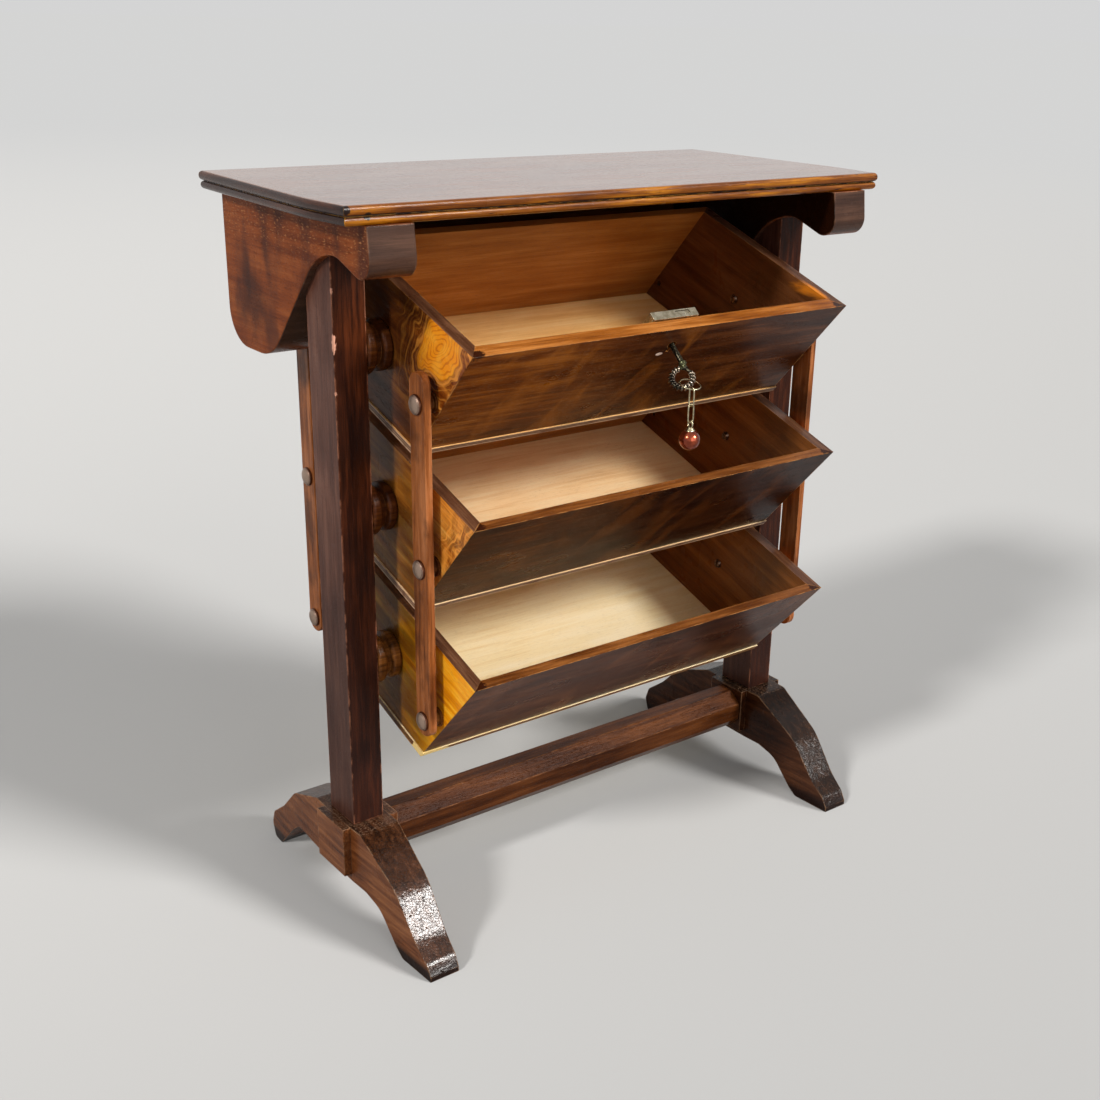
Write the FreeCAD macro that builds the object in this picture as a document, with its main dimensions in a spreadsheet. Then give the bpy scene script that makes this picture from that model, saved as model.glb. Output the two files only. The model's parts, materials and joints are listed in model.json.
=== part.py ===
"""Sewing stand with three tilting trays: a parametric assembly in millimetres.

+X runs to the right, +Y to the back and +Z up. The origin is on the floor, in the middle of the
stand's bounding box. Two posts on scrolled feet carry the top board on thick scrolled aprons.
Between them three trays, whose fronts and backs lean, turn on screws in the posts. Four link bars
tie the trays together, so that they tilt as one, like the slats of a blind: when the fronts are
upright the stand is shut and the lock's bolt reaches the underside of the top board.
"""
import FreeCAD
import Part
import math
import os

import Sketcher
from FreeCAD import Placement, Rotation, Vector

doc = FreeCAD.newDocument("SewingStand")
sheet = doc.addObject("Spreadsheet::Sheet", "Sizes")


# ---------------------------------------------------------------- sizes
class Size:
    """A number together with the spreadsheet expression that gives it."""

    def __init__(self, value, text):
        self.value = float(value)
        self.text = text

    def __add__(self, other):
        other = as_size(other)
        return Size(self.value + other.value, f"({self.text} + {other.text})")

    def __sub__(self, other):
        other = as_size(other)
        return Size(self.value - other.value, f"({self.text} - {other.text})")

    def __mul__(self, other):
        other = as_size(other)
        return Size(self.value * other.value, f"({self.text} * {other.text})")

    def __truediv__(self, other):
        other = as_size(other)
        return Size(self.value / other.value, f"({self.text} / {other.text})")

    def __neg__(self):
        return Size(-self.value, f"(-1 * {self.text})")

    def __radd__(self, other):
        return as_size(other) + self

    def __rsub__(self, other):
        return as_size(other) - self

    def __rmul__(self, other):
        return as_size(other) * self


def as_size(number):
    return number if isinstance(number, Size) else Size(number, f"({number:.10g})")


def sin(angle):
    return Size(math.sin(math.radians(angle.value)), f"sin({angle.text})")


def cos(angle):
    return Size(math.cos(math.radians(angle.value)), f"cos({angle.text})")


def tan(angle):
    return Size(math.tan(math.radians(angle.value)), f"tan({angle.text})")


def driving(alias, value):
    """Enter one driving dimension in the sheet and return it as a Size."""
    driving.row += 1
    sheet.set(f"A{driving.row}", alias)
    sheet.set(f"B{driving.row}", f"{value}")
    sheet.setAlias(f"B{driving.row}", alias)
    return Size(value, f"Sizes.{alias}")


driving.row = 0


def scroll_corner(alias, inward, share, rounding):
    """Enter one corner of a foot's scroll: how far in from the toe, the share of the foot's
    height that it stands at, and the radius that rounds it, which may be None."""
    along = driving(f"{alias}_inward", inward)
    up = driving(f"{alias}_share", share)
    return along, foot_top * up, rounding and driving(f"{alias}_round", rounding)


# top board
board_thickness = driving("board_thickness", 14)
board_side_overhang = driving("board_side_overhang", 20.3)
board_back_overhang = driving("board_back_overhang", 14)
board_set_back = driving("board_set_back", 0.7164)
board_front_taper = driving("board_front_taper", 4.5)
board_back_taper = driving("board_back_taper", 8.5)
board_swell_place = driving("board_swell_place", 32)
board_swell_round = driving("board_swell_round", 280)
bead_height = driving("bead_height", 7.4)
bead_round = driving("bead_round", 3.2)
bead_step = driving("bead_step", 0.8)

# posts, feet and stretcher
tray_clear_side = driving("tray_clear_side", 23.4)
leg_room = driving("leg_room", 137.5)
post_width = driving("post_width", 27.6)
post_depth = driving("post_depth", 39.4)
post_margin = driving("post_margin", 5.2)
edge_softening = driving("edge_softening", 1.2)
foot_top = driving("foot_top", 88.5)
foot_reach = driving("foot_reach", 136.5)
foot_back_reach = driving("foot_back_reach", 141)
foot_width = post_width + post_margin * 2
toe_width = driving("toe_width", 26.5)
foot_pad = driving("foot_pad", 40)
back_leg = [scroll_corner("back_crest", 103, 1, 8),
            scroll_corner("back_shoulder", 55, 0.79, 18),
            scroll_corner("back_slope", 29, 0.5, 30),
            scroll_corner("back_toe_top", 5, 0.3, 9),
            scroll_corner("back_toe_tip", 0, 0.15, 7),
            scroll_corner("back_pad_end", 5, 0, 5),
            scroll_corner("back_pad_start", 19, 0, 3),
            scroll_corner("back_arch_foot", 47, 0.322, 16),
            scroll_corner("back_arch_top", 61, 0.435, 14)]
front_leg = [scroll_corner("front_arch_top", 53, 0.4125, None),
             scroll_corner("front_arch_spring", 32, 0.35, 28),
             scroll_corner("front_arch_foot", 9, 0.0735, 14),
             scroll_corner("front_pad_start", 0, 0, 4)]
front_toe = [scroll_corner("front_pad_end", 0, 0, None),
             scroll_corner("front_toe_top", 0, 0.05, None),
             scroll_corner("front_instep", 5.5, 0.155, 11),
             scroll_corner("front_slope", 20.5, 0.29, 40),
             scroll_corner("front_shoulder", 48.5, 0.68, 42),
             scroll_corner("front_crest", 98.5, 1, 9)]
cheek_thickness = driving("cheek_thickness", 7)
cheek_margin = driving("cheek_margin", 2.8)
cheek_height = driving("cheek_height", 44.5)
stretcher_flats = driving("stretcher_flats", 39)
stretcher_drop = driving("stretcher_drop", 22.5)

# aprons under the top board
apron_thickness = post_width + post_margin * 2
apron_outset = driving("apron_outset", 1)
apron_cover = driving("apron_cover", 5.7934)
apron_lead = driving("apron_lead", 4)
apron_drop = driving("apron_drop", 119.5)
apron_arch_drop = driving("apron_arch_drop", 26)
apron_nose_drop = driving("apron_nose_drop", 44.5)
apron_nose_rake = driving("apron_nose_rake", 3)
apron_nose_lead = driving("apron_nose_lead", 2.5)
apron_nose_round = driving("apron_nose_round", 14)
apron_lobe_length = driving("apron_lobe_length", 73)
apron_lobe_heel_round = driving("apron_lobe_heel_round", 30)
apron_lobe_toe_round = driving("apron_lobe_toe_round", 46)
apron_rise_end = driving("apron_rise_end", -12.6)
apron_arch_flat = driving("apron_arch_flat", 27)
apron_arch_back_round = driving("apron_arch_back_round", 58)
apron_arch_front_round = driving("apron_arch_front_round", 34)
apron_edge_round = driving("apron_edge_round", 0.8)

# rail between the aprons, under the back of the board
rail_height = driving("rail_height", 60)
rail_thickness = driving("rail_thickness", 19)

# trays
tray_width = driving("tray_width", 378)
tray_length = driving("tray_length", 192)
tray_height = driving("tray_height", 112.2)
front_lean = driving("front_lean", 23.6)
open_tilt = driving("open_tilt", 18.5)
shut_gap = driving("shut_gap", 6.3871)
level_gap = driving("level_gap", 6.5594)
middle_behind_pivot = driving("middle_behind_pivot", 4.6)
middle_below_pivot = driving("middle_below_pivot", 2.4)
side_thickness = driving("side_thickness", 11)
lock_front_thickness = driving("lock_front_thickness", 13)
plain_front_thickness = driving("plain_front_thickness", 8.6)
floor_thickness = driving("floor_thickness", 5.5)
floor_lip = driving("floor_lip", 1.2)

# turned bosses and pivot screws between posts and trays
boss_radius = driving("boss_radius", 21.5)
boss_waist_radius = driving("boss_waist_radius", 16.5)
boss_step = driving("boss_step", 1.5)
boss_groove = driving("boss_groove", 7.4)
boss_glued_share = driving("boss_glued_share", 0.47)
boss_round = driving("boss_round", 2.6)
boss_clearance = driving("boss_clearance", 0.4)
pivot_screw_radius = driving("pivot_screw_radius", 3)
pivot_head_radius = driving("pivot_head_radius", 4.4)
pivot_head_height = driving("pivot_head_height", 2)
pivot_head_taper = driving("pivot_head_taper", 1.2)
pivot_slot_width = driving("pivot_slot_width", 1)
running_clearance = driving("running_clearance", 0.05)
pivot_screw_grip = driving("pivot_screw_grip", 18)

# link bars, their spacers and dome-headed screws
link_width = driving("link_width", 20.5)
link_thickness = driving("link_thickness", 6.2)
link_end_flat = driving("link_end_flat", 1)
link_edge_round = driving("link_edge_round", 1)
link_above_screw = driving("link_above_screw", 24)
link_below_screw = driving("link_below_screw", 13)
spacer_length = driving("spacer_length", 7.5)
spacer_radius = driving("spacer_radius", 8)
spacer_waist_radius = driving("spacer_waist_radius", 5.8)
spacer_lip = driving("spacer_lip", 1.6)
link_screw_radius = driving("link_screw_radius", 2.5)
link_screw_bite = driving("link_screw_bite", 5)
dome_radius = driving("dome_radius", 7.8)
dome_rim = driving("dome_rim", 0.9)
dome_height = driving("dome_height", 3)
link_play = driving("link_play", 0.3)
front_link_along = driving("front_link_along", -78.4)
front_link_up = driving("front_link_up", -4.6)
back_link_along = driving("back_link_along", 99.9)
back_link_up = driving("back_link_up", -35.5)

# lock, key and the charm on its chain
lock_middle = driving("lock_middle", 8.8)
lock_width = driving("lock_width", 46)
lock_depth = driving("lock_depth", 7.4)
lock_height = driving("lock_height", 31)
lock_wall = driving("lock_wall", 1.2)
lock_plate_drop = driving("lock_plate_drop", 3.4)
lock_plate_thickness = driving("lock_plate_thickness", 1.6)
bolt_middle = driving("bolt_middle", 17.4)
bolt_width = driving("bolt_width", 13.7)
bolt_thickness = driving("bolt_thickness", 2.6)
bolt_throw = driving("bolt_throw", 15)
bolt_height = driving("bolt_height", 23)
bolt_set_back = driving("bolt_set_back", 0.5)
bolt_clearance = driving("bolt_clearance", 0.4)
strike_spare = driving("strike_spare", 1.2)
key_place = driving("key_place", 6.5)
key_drop = driving("key_drop", 21)
key_shank_radius = driving("key_shank_radius", 2.2)
key_reach = driving("key_reach", 29)
key_collar_radius = driving("key_collar_radius", 3.3)
key_collar_length = driving("key_collar_length", 1.8)
key_collar_place = driving("key_collar_place", 4.2)
key_bit_width = driving("key_bit_width", 1.8)
key_bit_length = driving("key_bit_length", 2.2)
key_bit_drop = driving("key_bit_drop", 6.6)
keyhole_clearance = driving("keyhole_clearance", 1.6)
keyhole_slot_width = driving("keyhole_slot_width", 2.6)
keyhole_slot_drop = driving("keyhole_slot_drop", 8.4)
bow_radius = driving("bow_radius", 8.2)
bow_wire_radius = driving("bow_wire_radius", 1.3)
bow_shift = driving("bow_shift", 6)
bow_roll = driving("bow_roll", 35)
winding_radius = driving("winding_radius", 2.8)
winding_gap = driving("winding_gap", 66)
loop_radius = driving("loop_radius", 8.4)
loop_wire_radius = driving("loop_wire_radius", 0.6)
loop_turn = driving("loop_turn", 20)
loop_tip = driving("loop_tip", 16)
loop_shift = driving("loop_shift", -0.5)
hang_turn = driving("hang_turn", 29)
link_inner_half = driving("link_inner_half", 2.0)
link_straight = driving("link_straight", 9.3)
chain_wire_radius = driving("chain_wire_radius", 0.65)
chain_gap = driving("chain_gap", 0.12)
charm_eye_radius = driving("charm_eye_radius", 2.6)
charm_radius = driving("charm_radius", 8.4)
charm_cap_radius = driving("charm_cap_radius", 4.2)
charm_cap_neck = driving("charm_cap_neck", 1.75)
charm_cap_height = driving("charm_cap_height", 3)

doc.recompute()

# ---------------------------------------------------------------- places worked out from the sizes
full_swing = open_tilt + front_lean
side_face = tray_width / 2
link_face = side_face + spacer_length
post_inner = side_face + tray_clear_side
post_centre = post_inner + post_width / 2
cheek_half = post_depth / 2 + cheek_margin

# a tray's front rim edge in its own frame: along the rim from the pivot, and up from it
rim_along = middle_behind_pivot - tray_length / 2 - tray_height / 2 * tan(front_lean)
rim_up = tray_height / 2 - middle_below_pivot
rim_ahead = rim_along * cos(open_tilt) - rim_up * sin(open_tilt)
rim_rise = rim_along * sin(open_tilt) + rim_up * cos(open_tilt)


def lock_spot(inward, up):
    """Ahead of the post line and above the top pivot, from a place square to the top front."""
    ahead = rim_ahead + inward * cos(full_swing) - up * sin(full_swing)
    rise = rim_rise + inward * sin(full_swing) + up * cos(full_swing)
    return ahead, rise


# where a tray's rim edge comes when it is shut, and the heights that follow from the trays
shut_ahead = rim_along * cos(front_lean) + rim_up * sin(front_lean)
shut_rise = rim_up * cos(front_lean) - rim_along * sin(front_lean)
tray_pitch = tray_height / cos(front_lean) + level_gap
top_pivot_height = foot_top + leg_room + tray_pitch * 2
board_underside = top_pivot_height + shut_rise + shut_gap
overall_height = board_underside + board_thickness

# the board lies over the shut fronts, and the aprons cover the backs of the open trays
back_foot_ahead = ((rim_along + tray_length + tray_height * tan(front_lean)) * cos(open_tilt)
                   + (tray_height - rim_up) * sin(open_tilt))
board_front = -shut_ahead - board_set_back
apron_front = board_front + apron_lead
apron_back = back_foot_ahead + apron_cover
apron_lobe_front = apron_back - apron_lobe_length
board_back = apron_back + board_back_overhang
board_swell_half = post_centre + apron_outset + apron_thickness / 2 + board_side_overhang
board_front_half = board_swell_half - board_front_taper
board_back_half = board_swell_half - board_back_taper

# the lock's bolt and how far it enters the board when it is thrown
bolt_line = lock_front_thickness + lock_depth - lock_wall - bolt_clearance - bolt_thickness
bolt_tip_drop = lock_plate_drop + bolt_set_back
strike_depth = (top_pivot_height + shut_rise - bolt_tip_drop + bolt_throw
                - board_underside + strike_spare)

# the key's bow, the wire loop round it and the plumb line of the charm, in the lock's frame
bow_across = key_place - bow_shift * cos(bow_roll)
bow_up = -key_drop - bow_shift * sin(bow_roll)
loop_across = bow_across + bow_radius * sin(loop_turn) * cos(bow_roll) - loop_shift
loop_ahead, loop_rise = lock_spot(-key_reach - bow_radius * cos(loop_turn),
                                  bow_up + bow_radius * sin(loop_turn) * sin(bow_roll))
hang_across = loop_across - loop_radius * sin(hang_turn)
hang_ahead = loop_ahead - loop_radius * cos(hang_turn) * cos(loop_tip)
hang_rise = loop_rise - loop_radius * cos(hang_turn) * sin(loop_tip)

# the charm hangs furthest forward, the board reaches furthest back: the origin is half way
post_line = (charm_radius - hang_ahead - board_back) / 2


def pivot_height(level):
    """Height of the pivots of tray 0 (top), 1 (middle) or 2 (bottom)."""
    return top_pivot_height - tray_pitch * level


# ---------------------------------------------------------------- modelling helpers
def bind(thing, name, size):
    thing.setExpression(name, as_size(size).text)


def place(thing, x=0, y=0, z=0, tilt=None, axis=Vector(1, 0, 0)):
    """Put a sub-part at x, y, z, turned by tilt about an axis through its own origin."""
    if tilt is not None:
        thing.Placement = Placement(Vector(), Rotation(axis, as_size(tilt).value))
        bind(thing, "Placement.Rotation.Angle", tilt)
    for letter, distance in zip("xyz", (x, y, z)):
        bind(thing, f"Placement.Base.{letter}", distance)
    return thing


def new_body(label):
    body = doc.addObject("PartDesign::Body", label)
    body.Label = label
    return body


def new_sketch(body, plane):
    """A sketch on one of the body's origin planes: XY_Plane, XZ_Plane or YZ_Plane."""
    sketch = body.newObject("Sketcher::SketchObject", f"{body.Name}_sketch")
    support = [part for part in body.Origin.OriginFeatures if part.Role == plane][0]
    sketch.AttachmentSupport = [(support, "")]
    sketch.MapMode = "FlatFace"
    return sketch


def pin_down(sketch, geometry, corner, point):
    """Tie one point of a sketch to its two sizes."""
    for kind, axis, size in (("DistanceX", -2, point[0]), ("DistanceY", -1, point[1])):
        size = as_size(size)
        if size.value == 0:
            sketch.addConstraint(Sketcher.Constraint("PointOnObject", geometry, corner, axis))
            continue
        number = sketch.addConstraint(
            Sketcher.Constraint(kind, -1, 1, geometry, corner, size.value))
        bind(sketch, f"Constraints[{number}]", size)


def draw_polygon(sketch, points):
    """Closed outline through points, each a pair of sizes."""
    start = sketch.GeometryCount
    corners = [Vector(as_size(a).value, as_size(b).value, 0) for a, b in points]
    count = len(corners)
    for index, corner in enumerate(corners):
        sketch.addGeometry(Part.LineSegment(corner, corners[(index + 1) % count]), False)
    for index in range(count):
        following = start + (index + 1) % count
        sketch.addConstraint(Sketcher.Constraint("Coincident", start + index, 2, following, 1))
    for index, point in enumerate(points):
        pin_down(sketch, start + index, 1, point)


def draw_circle(sketch, point, radius):
    middle = Vector(as_size(point[0]).value, as_size(point[1]).value, 0)
    number = sketch.addGeometry(
        Part.Circle(middle, Vector(0, 0, 1), as_size(radius).value), False)
    pin_down(sketch, number, 3, point)
    mark = sketch.addConstraint(Sketcher.Constraint("Radius", number, as_size(radius).value))
    bind(sketch, f"Constraints[{mark}]", radius)


def pad(body, sketch, length, both_ways=False, along=None, backwards=False):
    """Pad a sketch by a length: on both sides of it, backwards, or along a leaning direction."""
    feature = body.newObject("PartDesign::Pad", f"{body.Name}_pad")
    feature.Profile = sketch
    bind(feature, "Length", length)
    feature.SideType = "Symmetric" if both_ways else "One side"
    feature.Reversed = backwards
    if along:
        feature.UseCustomVector = True
        feature.AlongSketchNormal = False
        feature.Direction = Vector(*[as_size(part).value for part in along])
        for letter, part in zip("xyz", along):
            bind(feature, f"Direction.{letter}", part)
    return feature


def pocket_through(body, sketch):
    feature = body.newObject("PartDesign::Pocket", f"{body.Name}_pocket")
    feature.Profile = sketch
    feature.Type = "ThroughAll"
    feature.SideType = "Symmetric"
    return feature


def revolve(body, sketch, axis):
    """Turn a sketch about one of the body's origin axes: X_Axis, Y_Axis or Z_Axis."""
    line = [part for part in body.Origin.OriginFeatures if part.Role == axis][0]
    feature = body.newObject("PartDesign::Revolution", f"{body.Name}_turned")
    feature.Profile = sketch
    feature.ReferenceAxis = (line, [""])
    feature.Angle = 360
    return feature


def edge_names(shape, wanted):
    return [f"Edge{number}" for number, edge in enumerate(shape.Edges, 1) if wanted(edge)]


def soften(body, wanted, radius, kind="Fillet"):
    """Round (or chamfer) the edges of the body so far that pass the test."""
    doc.recompute()
    base = body.Tip
    feature = body.newObject(f"PartDesign::{kind}", f"{body.Name}_{kind.lower()}")
    feature.Base = (base, edge_names(base.Shape, wanted))
    bind(feature, "Radius" if kind == "Fillet" else "Size", radius)
    return feature


def runs_along(edge, direction):
    """True for a straight edge parallel to the direction."""
    if not isinstance(edge.Curve, Part.Line):
        return False
    return edge.Curve.Direction.cross(direction).Length < 1e-6


def corner_test(direction, point):
    """A test for straight edges along the direction that pass through a point, seen along it."""
    def passes(edge):
        if not runs_along(edge, direction):
            return False
        gap = edge.Vertexes[0].Point - point
        return (gap - direction * gap.dot(direction)).Length < 1e-4
    return passes


def round_corners(body, direction, corners):
    """Fillet upright edges of a padded outline: corners are (point, radius) pairs."""
    for point, radius in corners:
        soften(body, corner_test(direction, point), radius)


def solid(kind, label, **sizes):
    """A Part primitive with its sizes bound."""
    thing = doc.addObject(f"Part::{kind}", label)
    thing.Label = label
    for name, size in sizes.items():
        bind(thing, name, size)
    return thing


def combine(kind, label, things):
    """Part::MultiFuse or Part::MultiCommon of several things."""
    result = doc.addObject(f"Part::{kind}", label)
    result.Label = label
    result.Shapes = things
    result.Refine = False
    return result


def cut(label, base, tool):
    result = doc.addObject("Part::Cut", label)
    result.Label = label
    result.Base = base
    result.Tool = tool
    return result


def group(label, things):
    """Several separate solids of one kind as one sub-part."""
    result = doc.addObject("Part::Compound", label)
    result.Label = label
    result.Links = things
    return result


parts = []


def keep(thing):
    """Mark an object as one of the stand's sub-parts."""
    parts.append(thing)
    return thing


ALONG_X = Vector(1, 0, 0)
ALONG_Z = Vector(0, 0, 1)
SIDES = (("left", -1), ("right", 1))
LEVELS = ("top", "middle", "bottom")
DOME_STEPS = 5


# ---------------------------------------------------------------- top board
def board_slab(label, inset, height):
    """One bead's thickness of the board: a slab with swelling ends and both rims rounded."""
    body = new_body(label)
    sketch = new_sketch(body, "XY_Plane")
    half_plan = [(board_back_half, board_back),
                 (board_swell_half, -board_swell_place),
                 (board_front_half, -board_front)]
    right = [(x - inset, y) for x, y in half_plan]
    right[0] = (right[0][0], board_back - inset)
    right[2] = (right[2][0], -board_front + inset)
    draw_polygon(sketch, right + [(-x, y) for x, y in reversed(right)])
    pad(body, sketch, height)
    swells = [(Vector(side * right[1][0].value, right[1][1].value, 0), board_swell_round)
              for side in (1, -1)]
    round_corners(body, ALONG_Z, swells)
    soften(body, lambda edge: not runs_along(edge, ALONG_Z), bead_round)
    return body


def make_top_board():
    """Two stacked beads run round the edge, the upper standing a little proud."""
    upper = board_slab("board_upper_bead", as_size(0), bead_height)
    lower = board_slab("board_lower_bead", bead_step, board_thickness - bead_height)
    place(upper, 0, post_line, overall_height - bead_height)
    place(lower, 0, post_line, board_underside)
    blank = combine("MultiFuse", "board_blank", [upper, lower])
    strike = solid("Box", "strike_mortise", Length=bolt_width + strike_spare * 2,
                   Width=bolt_thickness + strike_spare * 2, Height=strike_depth)
    place(strike, bolt_middle - bolt_width / 2 - strike_spare,
          post_line + shut_ahead + bolt_line - strike_spare, board_underside)
    keep(cut("top_board", blank, strike))


# ---------------------------------------------------------------- frame
def make_apron(name, side):
    """Thick scrolled bracket: a deep lobe behind, an arch over the post and a rounded nose."""
    arch = -apron_arch_drop
    nose = -apron_front
    outline = [(apron_back, 0, None),
               (apron_back, -apron_drop, apron_lobe_heel_round),
               (apron_lobe_front, -apron_drop, apron_lobe_toe_round),
               (apron_rise_end, arch, apron_arch_back_round),
               (apron_rise_end - apron_arch_flat, arch, apron_arch_front_round),
               (nose - apron_nose_lead, -apron_nose_drop, apron_nose_round),
               (nose + apron_nose_rake, 0, None)]
    body = new_body(f"apron_{name}")
    sketch = new_sketch(body, "YZ_Plane")
    draw_polygon(sketch, [(along, up) for along, up, radius in outline])
    pad(body, sketch, apron_thickness, both_ways=True)
    round_corners(body, ALONG_X, [
        (Vector(0, as_size(along).value, as_size(up).value), radius)
        for along, up, radius in outline if radius])
    mortise = new_sketch(body, "XY_Plane")
    near = -side * apron_outset - post_width / 2
    far = -side * apron_outset + post_width / 2
    draw_polygon(mortise, [(near, post_depth / 2), (near, -post_depth / 2),
                           (far, -post_depth / 2), (far, post_depth / 2)])
    pocket_through(body, mortise)
    soften(body, lambda edge: abs(abs(edge.CenterOfMass.x) - apron_thickness.value / 2) < 1e-3
           and edge.BoundBox.ZMax < -0.5, apron_edge_round)
    place(body, side * (post_centre + apron_outset), post_line, board_underside)
    keep(body)


def make_back_rail():
    """Plain rail across the back, flush with the aprons and glued between them."""
    body = new_body("back_rail")
    sketch = new_sketch(body, "YZ_Plane")
    inner_face = apron_back - rail_thickness
    draw_polygon(sketch, [(apron_back, -rail_height), (apron_back, 0),
                          (inner_face, 0), (inner_face, -rail_height)])
    pad(body, sketch, 2 * (post_centre + apron_outset - apron_thickness / 2), both_ways=True)
    soften(body, lambda edge: runs_along(edge, ALONG_X) and edge.BoundBox.ZMax < -1,
           edge_softening)
    place(body, 0, post_line, board_underside)
    keep(body)


def make_post(name, side):
    """Square post, standing on the foot and housed in the apron, with blind pilot holes."""
    body = new_body(f"post_{name}")
    sketch = new_sketch(body, "XY_Plane")
    half_width = post_width / 2
    half_depth = post_depth / 2
    draw_polygon(sketch, [(half_width, half_depth), (-half_width, half_depth),
                          (-half_width, -half_depth), (half_width, -half_depth)])
    pad(body, sketch, board_underside - foot_top)
    place(body, side * post_centre, post_line, foot_top)
    pilots = []
    for level, tray in enumerate(LEVELS):
        pilot = solid("Cylinder", f"pilot_{name}_{tray}",
                      Radius=pivot_screw_radius + running_clearance,
                      Height=pivot_screw_grip + 1)
        place(pilot, side * post_inner, post_line, pivot_height(level), 90 * side,
              Vector(0, 1, 0))
        pilots.append(pilot)
    body.Label = f"post_blank_{name}"
    keep(cut(f"post_{name}", body, combine("MultiFuse", f"pilots_{name}", pilots)))


def foot_outline():
    """Side view of a foot from the back round to the front: along, up and corner radius.

    The front leg drops steeply to a long pad; the back leg is shallower, with a rounded toe.
    """
    back = foot_back_reach
    front = -foot_reach
    return ([(back - inward, up, radius) for inward, up, radius in back_leg]
            + [(front + foot_pad + inward, up, radius) for inward, up, radius in front_leg]
            + [(front + inward, up, radius) for inward, up, radius in front_toe])


def make_foot(name, side):
    """Scrolled foot cut from a plank, thinned towards both toes."""
    profile = new_body(f"foot_profile_{name}")
    sketch = new_sketch(profile, "YZ_Plane")
    outline = foot_outline()
    draw_polygon(sketch, [(along, up) for along, up, radius in outline])
    pad(profile, sketch, foot_width, both_ways=True)
    round_corners(profile, ALONG_X, [
        (Vector(0, as_size(along).value, as_size(up).value), radius)
        for along, up, radius in outline if radius])
    plan = new_body(f"foot_plan_{name}")
    outline = new_sketch(plan, "XY_Plane")
    right = [(toe_width / 2, foot_back_reach), (foot_width / 2, cheek_half),
             (foot_width / 2, -cheek_half), (toe_width / 2, -foot_reach)]
    draw_polygon(outline, right + [(-x, y) for x, y in reversed(right)])
    pad(plan, outline, foot_top)
    for body in (profile, plan):
        place(body, side * post_centre, post_line, 0)
    keep(combine("MultiCommon", f"foot_{name}", [profile, plan]))


def make_cheeks(name, side):
    """Square cheeks glued to both sides of the foot under the post."""
    cheeks = []
    for face, direction in (("inner", -1), ("outer", 1)):
        body = new_body(f"cheek_{name}_{face}")
        sketch = new_sketch(body, "YZ_Plane")
        bottom = foot_top - cheek_height
        draw_polygon(sketch, [(cheek_half, bottom), (cheek_half, foot_top),
                              (-cheek_half, foot_top), (-cheek_half, bottom)])
        pad(body, sketch, cheek_thickness, backwards=side * direction < 0)
        place(body, side * (post_centre + direction * foot_width / 2), post_line, 0)
        cheeks.append(body)
    keep(group(f"foot_cheeks_{name}", cheeks))


def make_stretcher():
    """Octagonal bar between the inner cheeks."""
    body = new_body("stretcher")
    sketch = new_sketch(body, "YZ_Plane")
    flat = stretcher_flats / 2
    corner = flat * math.tan(math.pi / 8)
    first = [(flat, -corner), (flat, corner), (corner, flat), (-corner, flat)]
    draw_polygon(sketch, first + [(-a, -b) for a, b in first])
    length = 2 * (post_centre - foot_width / 2 - cheek_thickness)
    pad(body, sketch, length, both_ways=True)
    place(body, 0, post_line, foot_top - stretcher_drop)
    keep(body)


# ---------------------------------------------------------------- trays
def tray_place(thing, level, along, up, turn=open_tilt, x=0):
    """Place something in a tray's frame: along its rim and up from it, at the open tilt."""
    ahead = along * cos(open_tilt) - up * sin(open_tilt)
    rise = along * sin(open_tilt) + up * cos(open_tilt)
    return place(thing, x, post_line + ahead, pivot_height(level) + rise, turn)


def wall(label, level, outline):
    """A tray wall: its outline on the rim, carried down along the lean of the front."""
    body = new_body(label)
    sketch = new_sketch(body, "XY_Plane")
    draw_polygon(sketch, outline)
    slope = (tray_height - floor_thickness) / cos(front_lean)
    pad(body, sketch, slope, along=(0, sin(front_lean), -cos(front_lean)))
    return tray_place(body, level, rim_along, rim_up)


def bores(label, level, spots, side):
    """Cylinders across a tray's side, to drill the holes for its screws."""
    drills = []
    for along, up, radius in spots:
        drill = solid("Cylinder", f"{label}_drill", Radius=radius + running_clearance,
                      Height=side_thickness * 3)
        tray_place(drill, level, as_size(along), as_size(up))
        drill.Placement.Rotation = Rotation(Vector(0, 1, 0), 90)
        drill.setExpression("Placement.Rotation.Angle", None)
        bind(drill, "Placement.Base.x", side * side_face - side_thickness * 1.5)
        drills.append(drill)
    return combine("MultiFuse", f"{label}_drills", drills)


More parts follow.
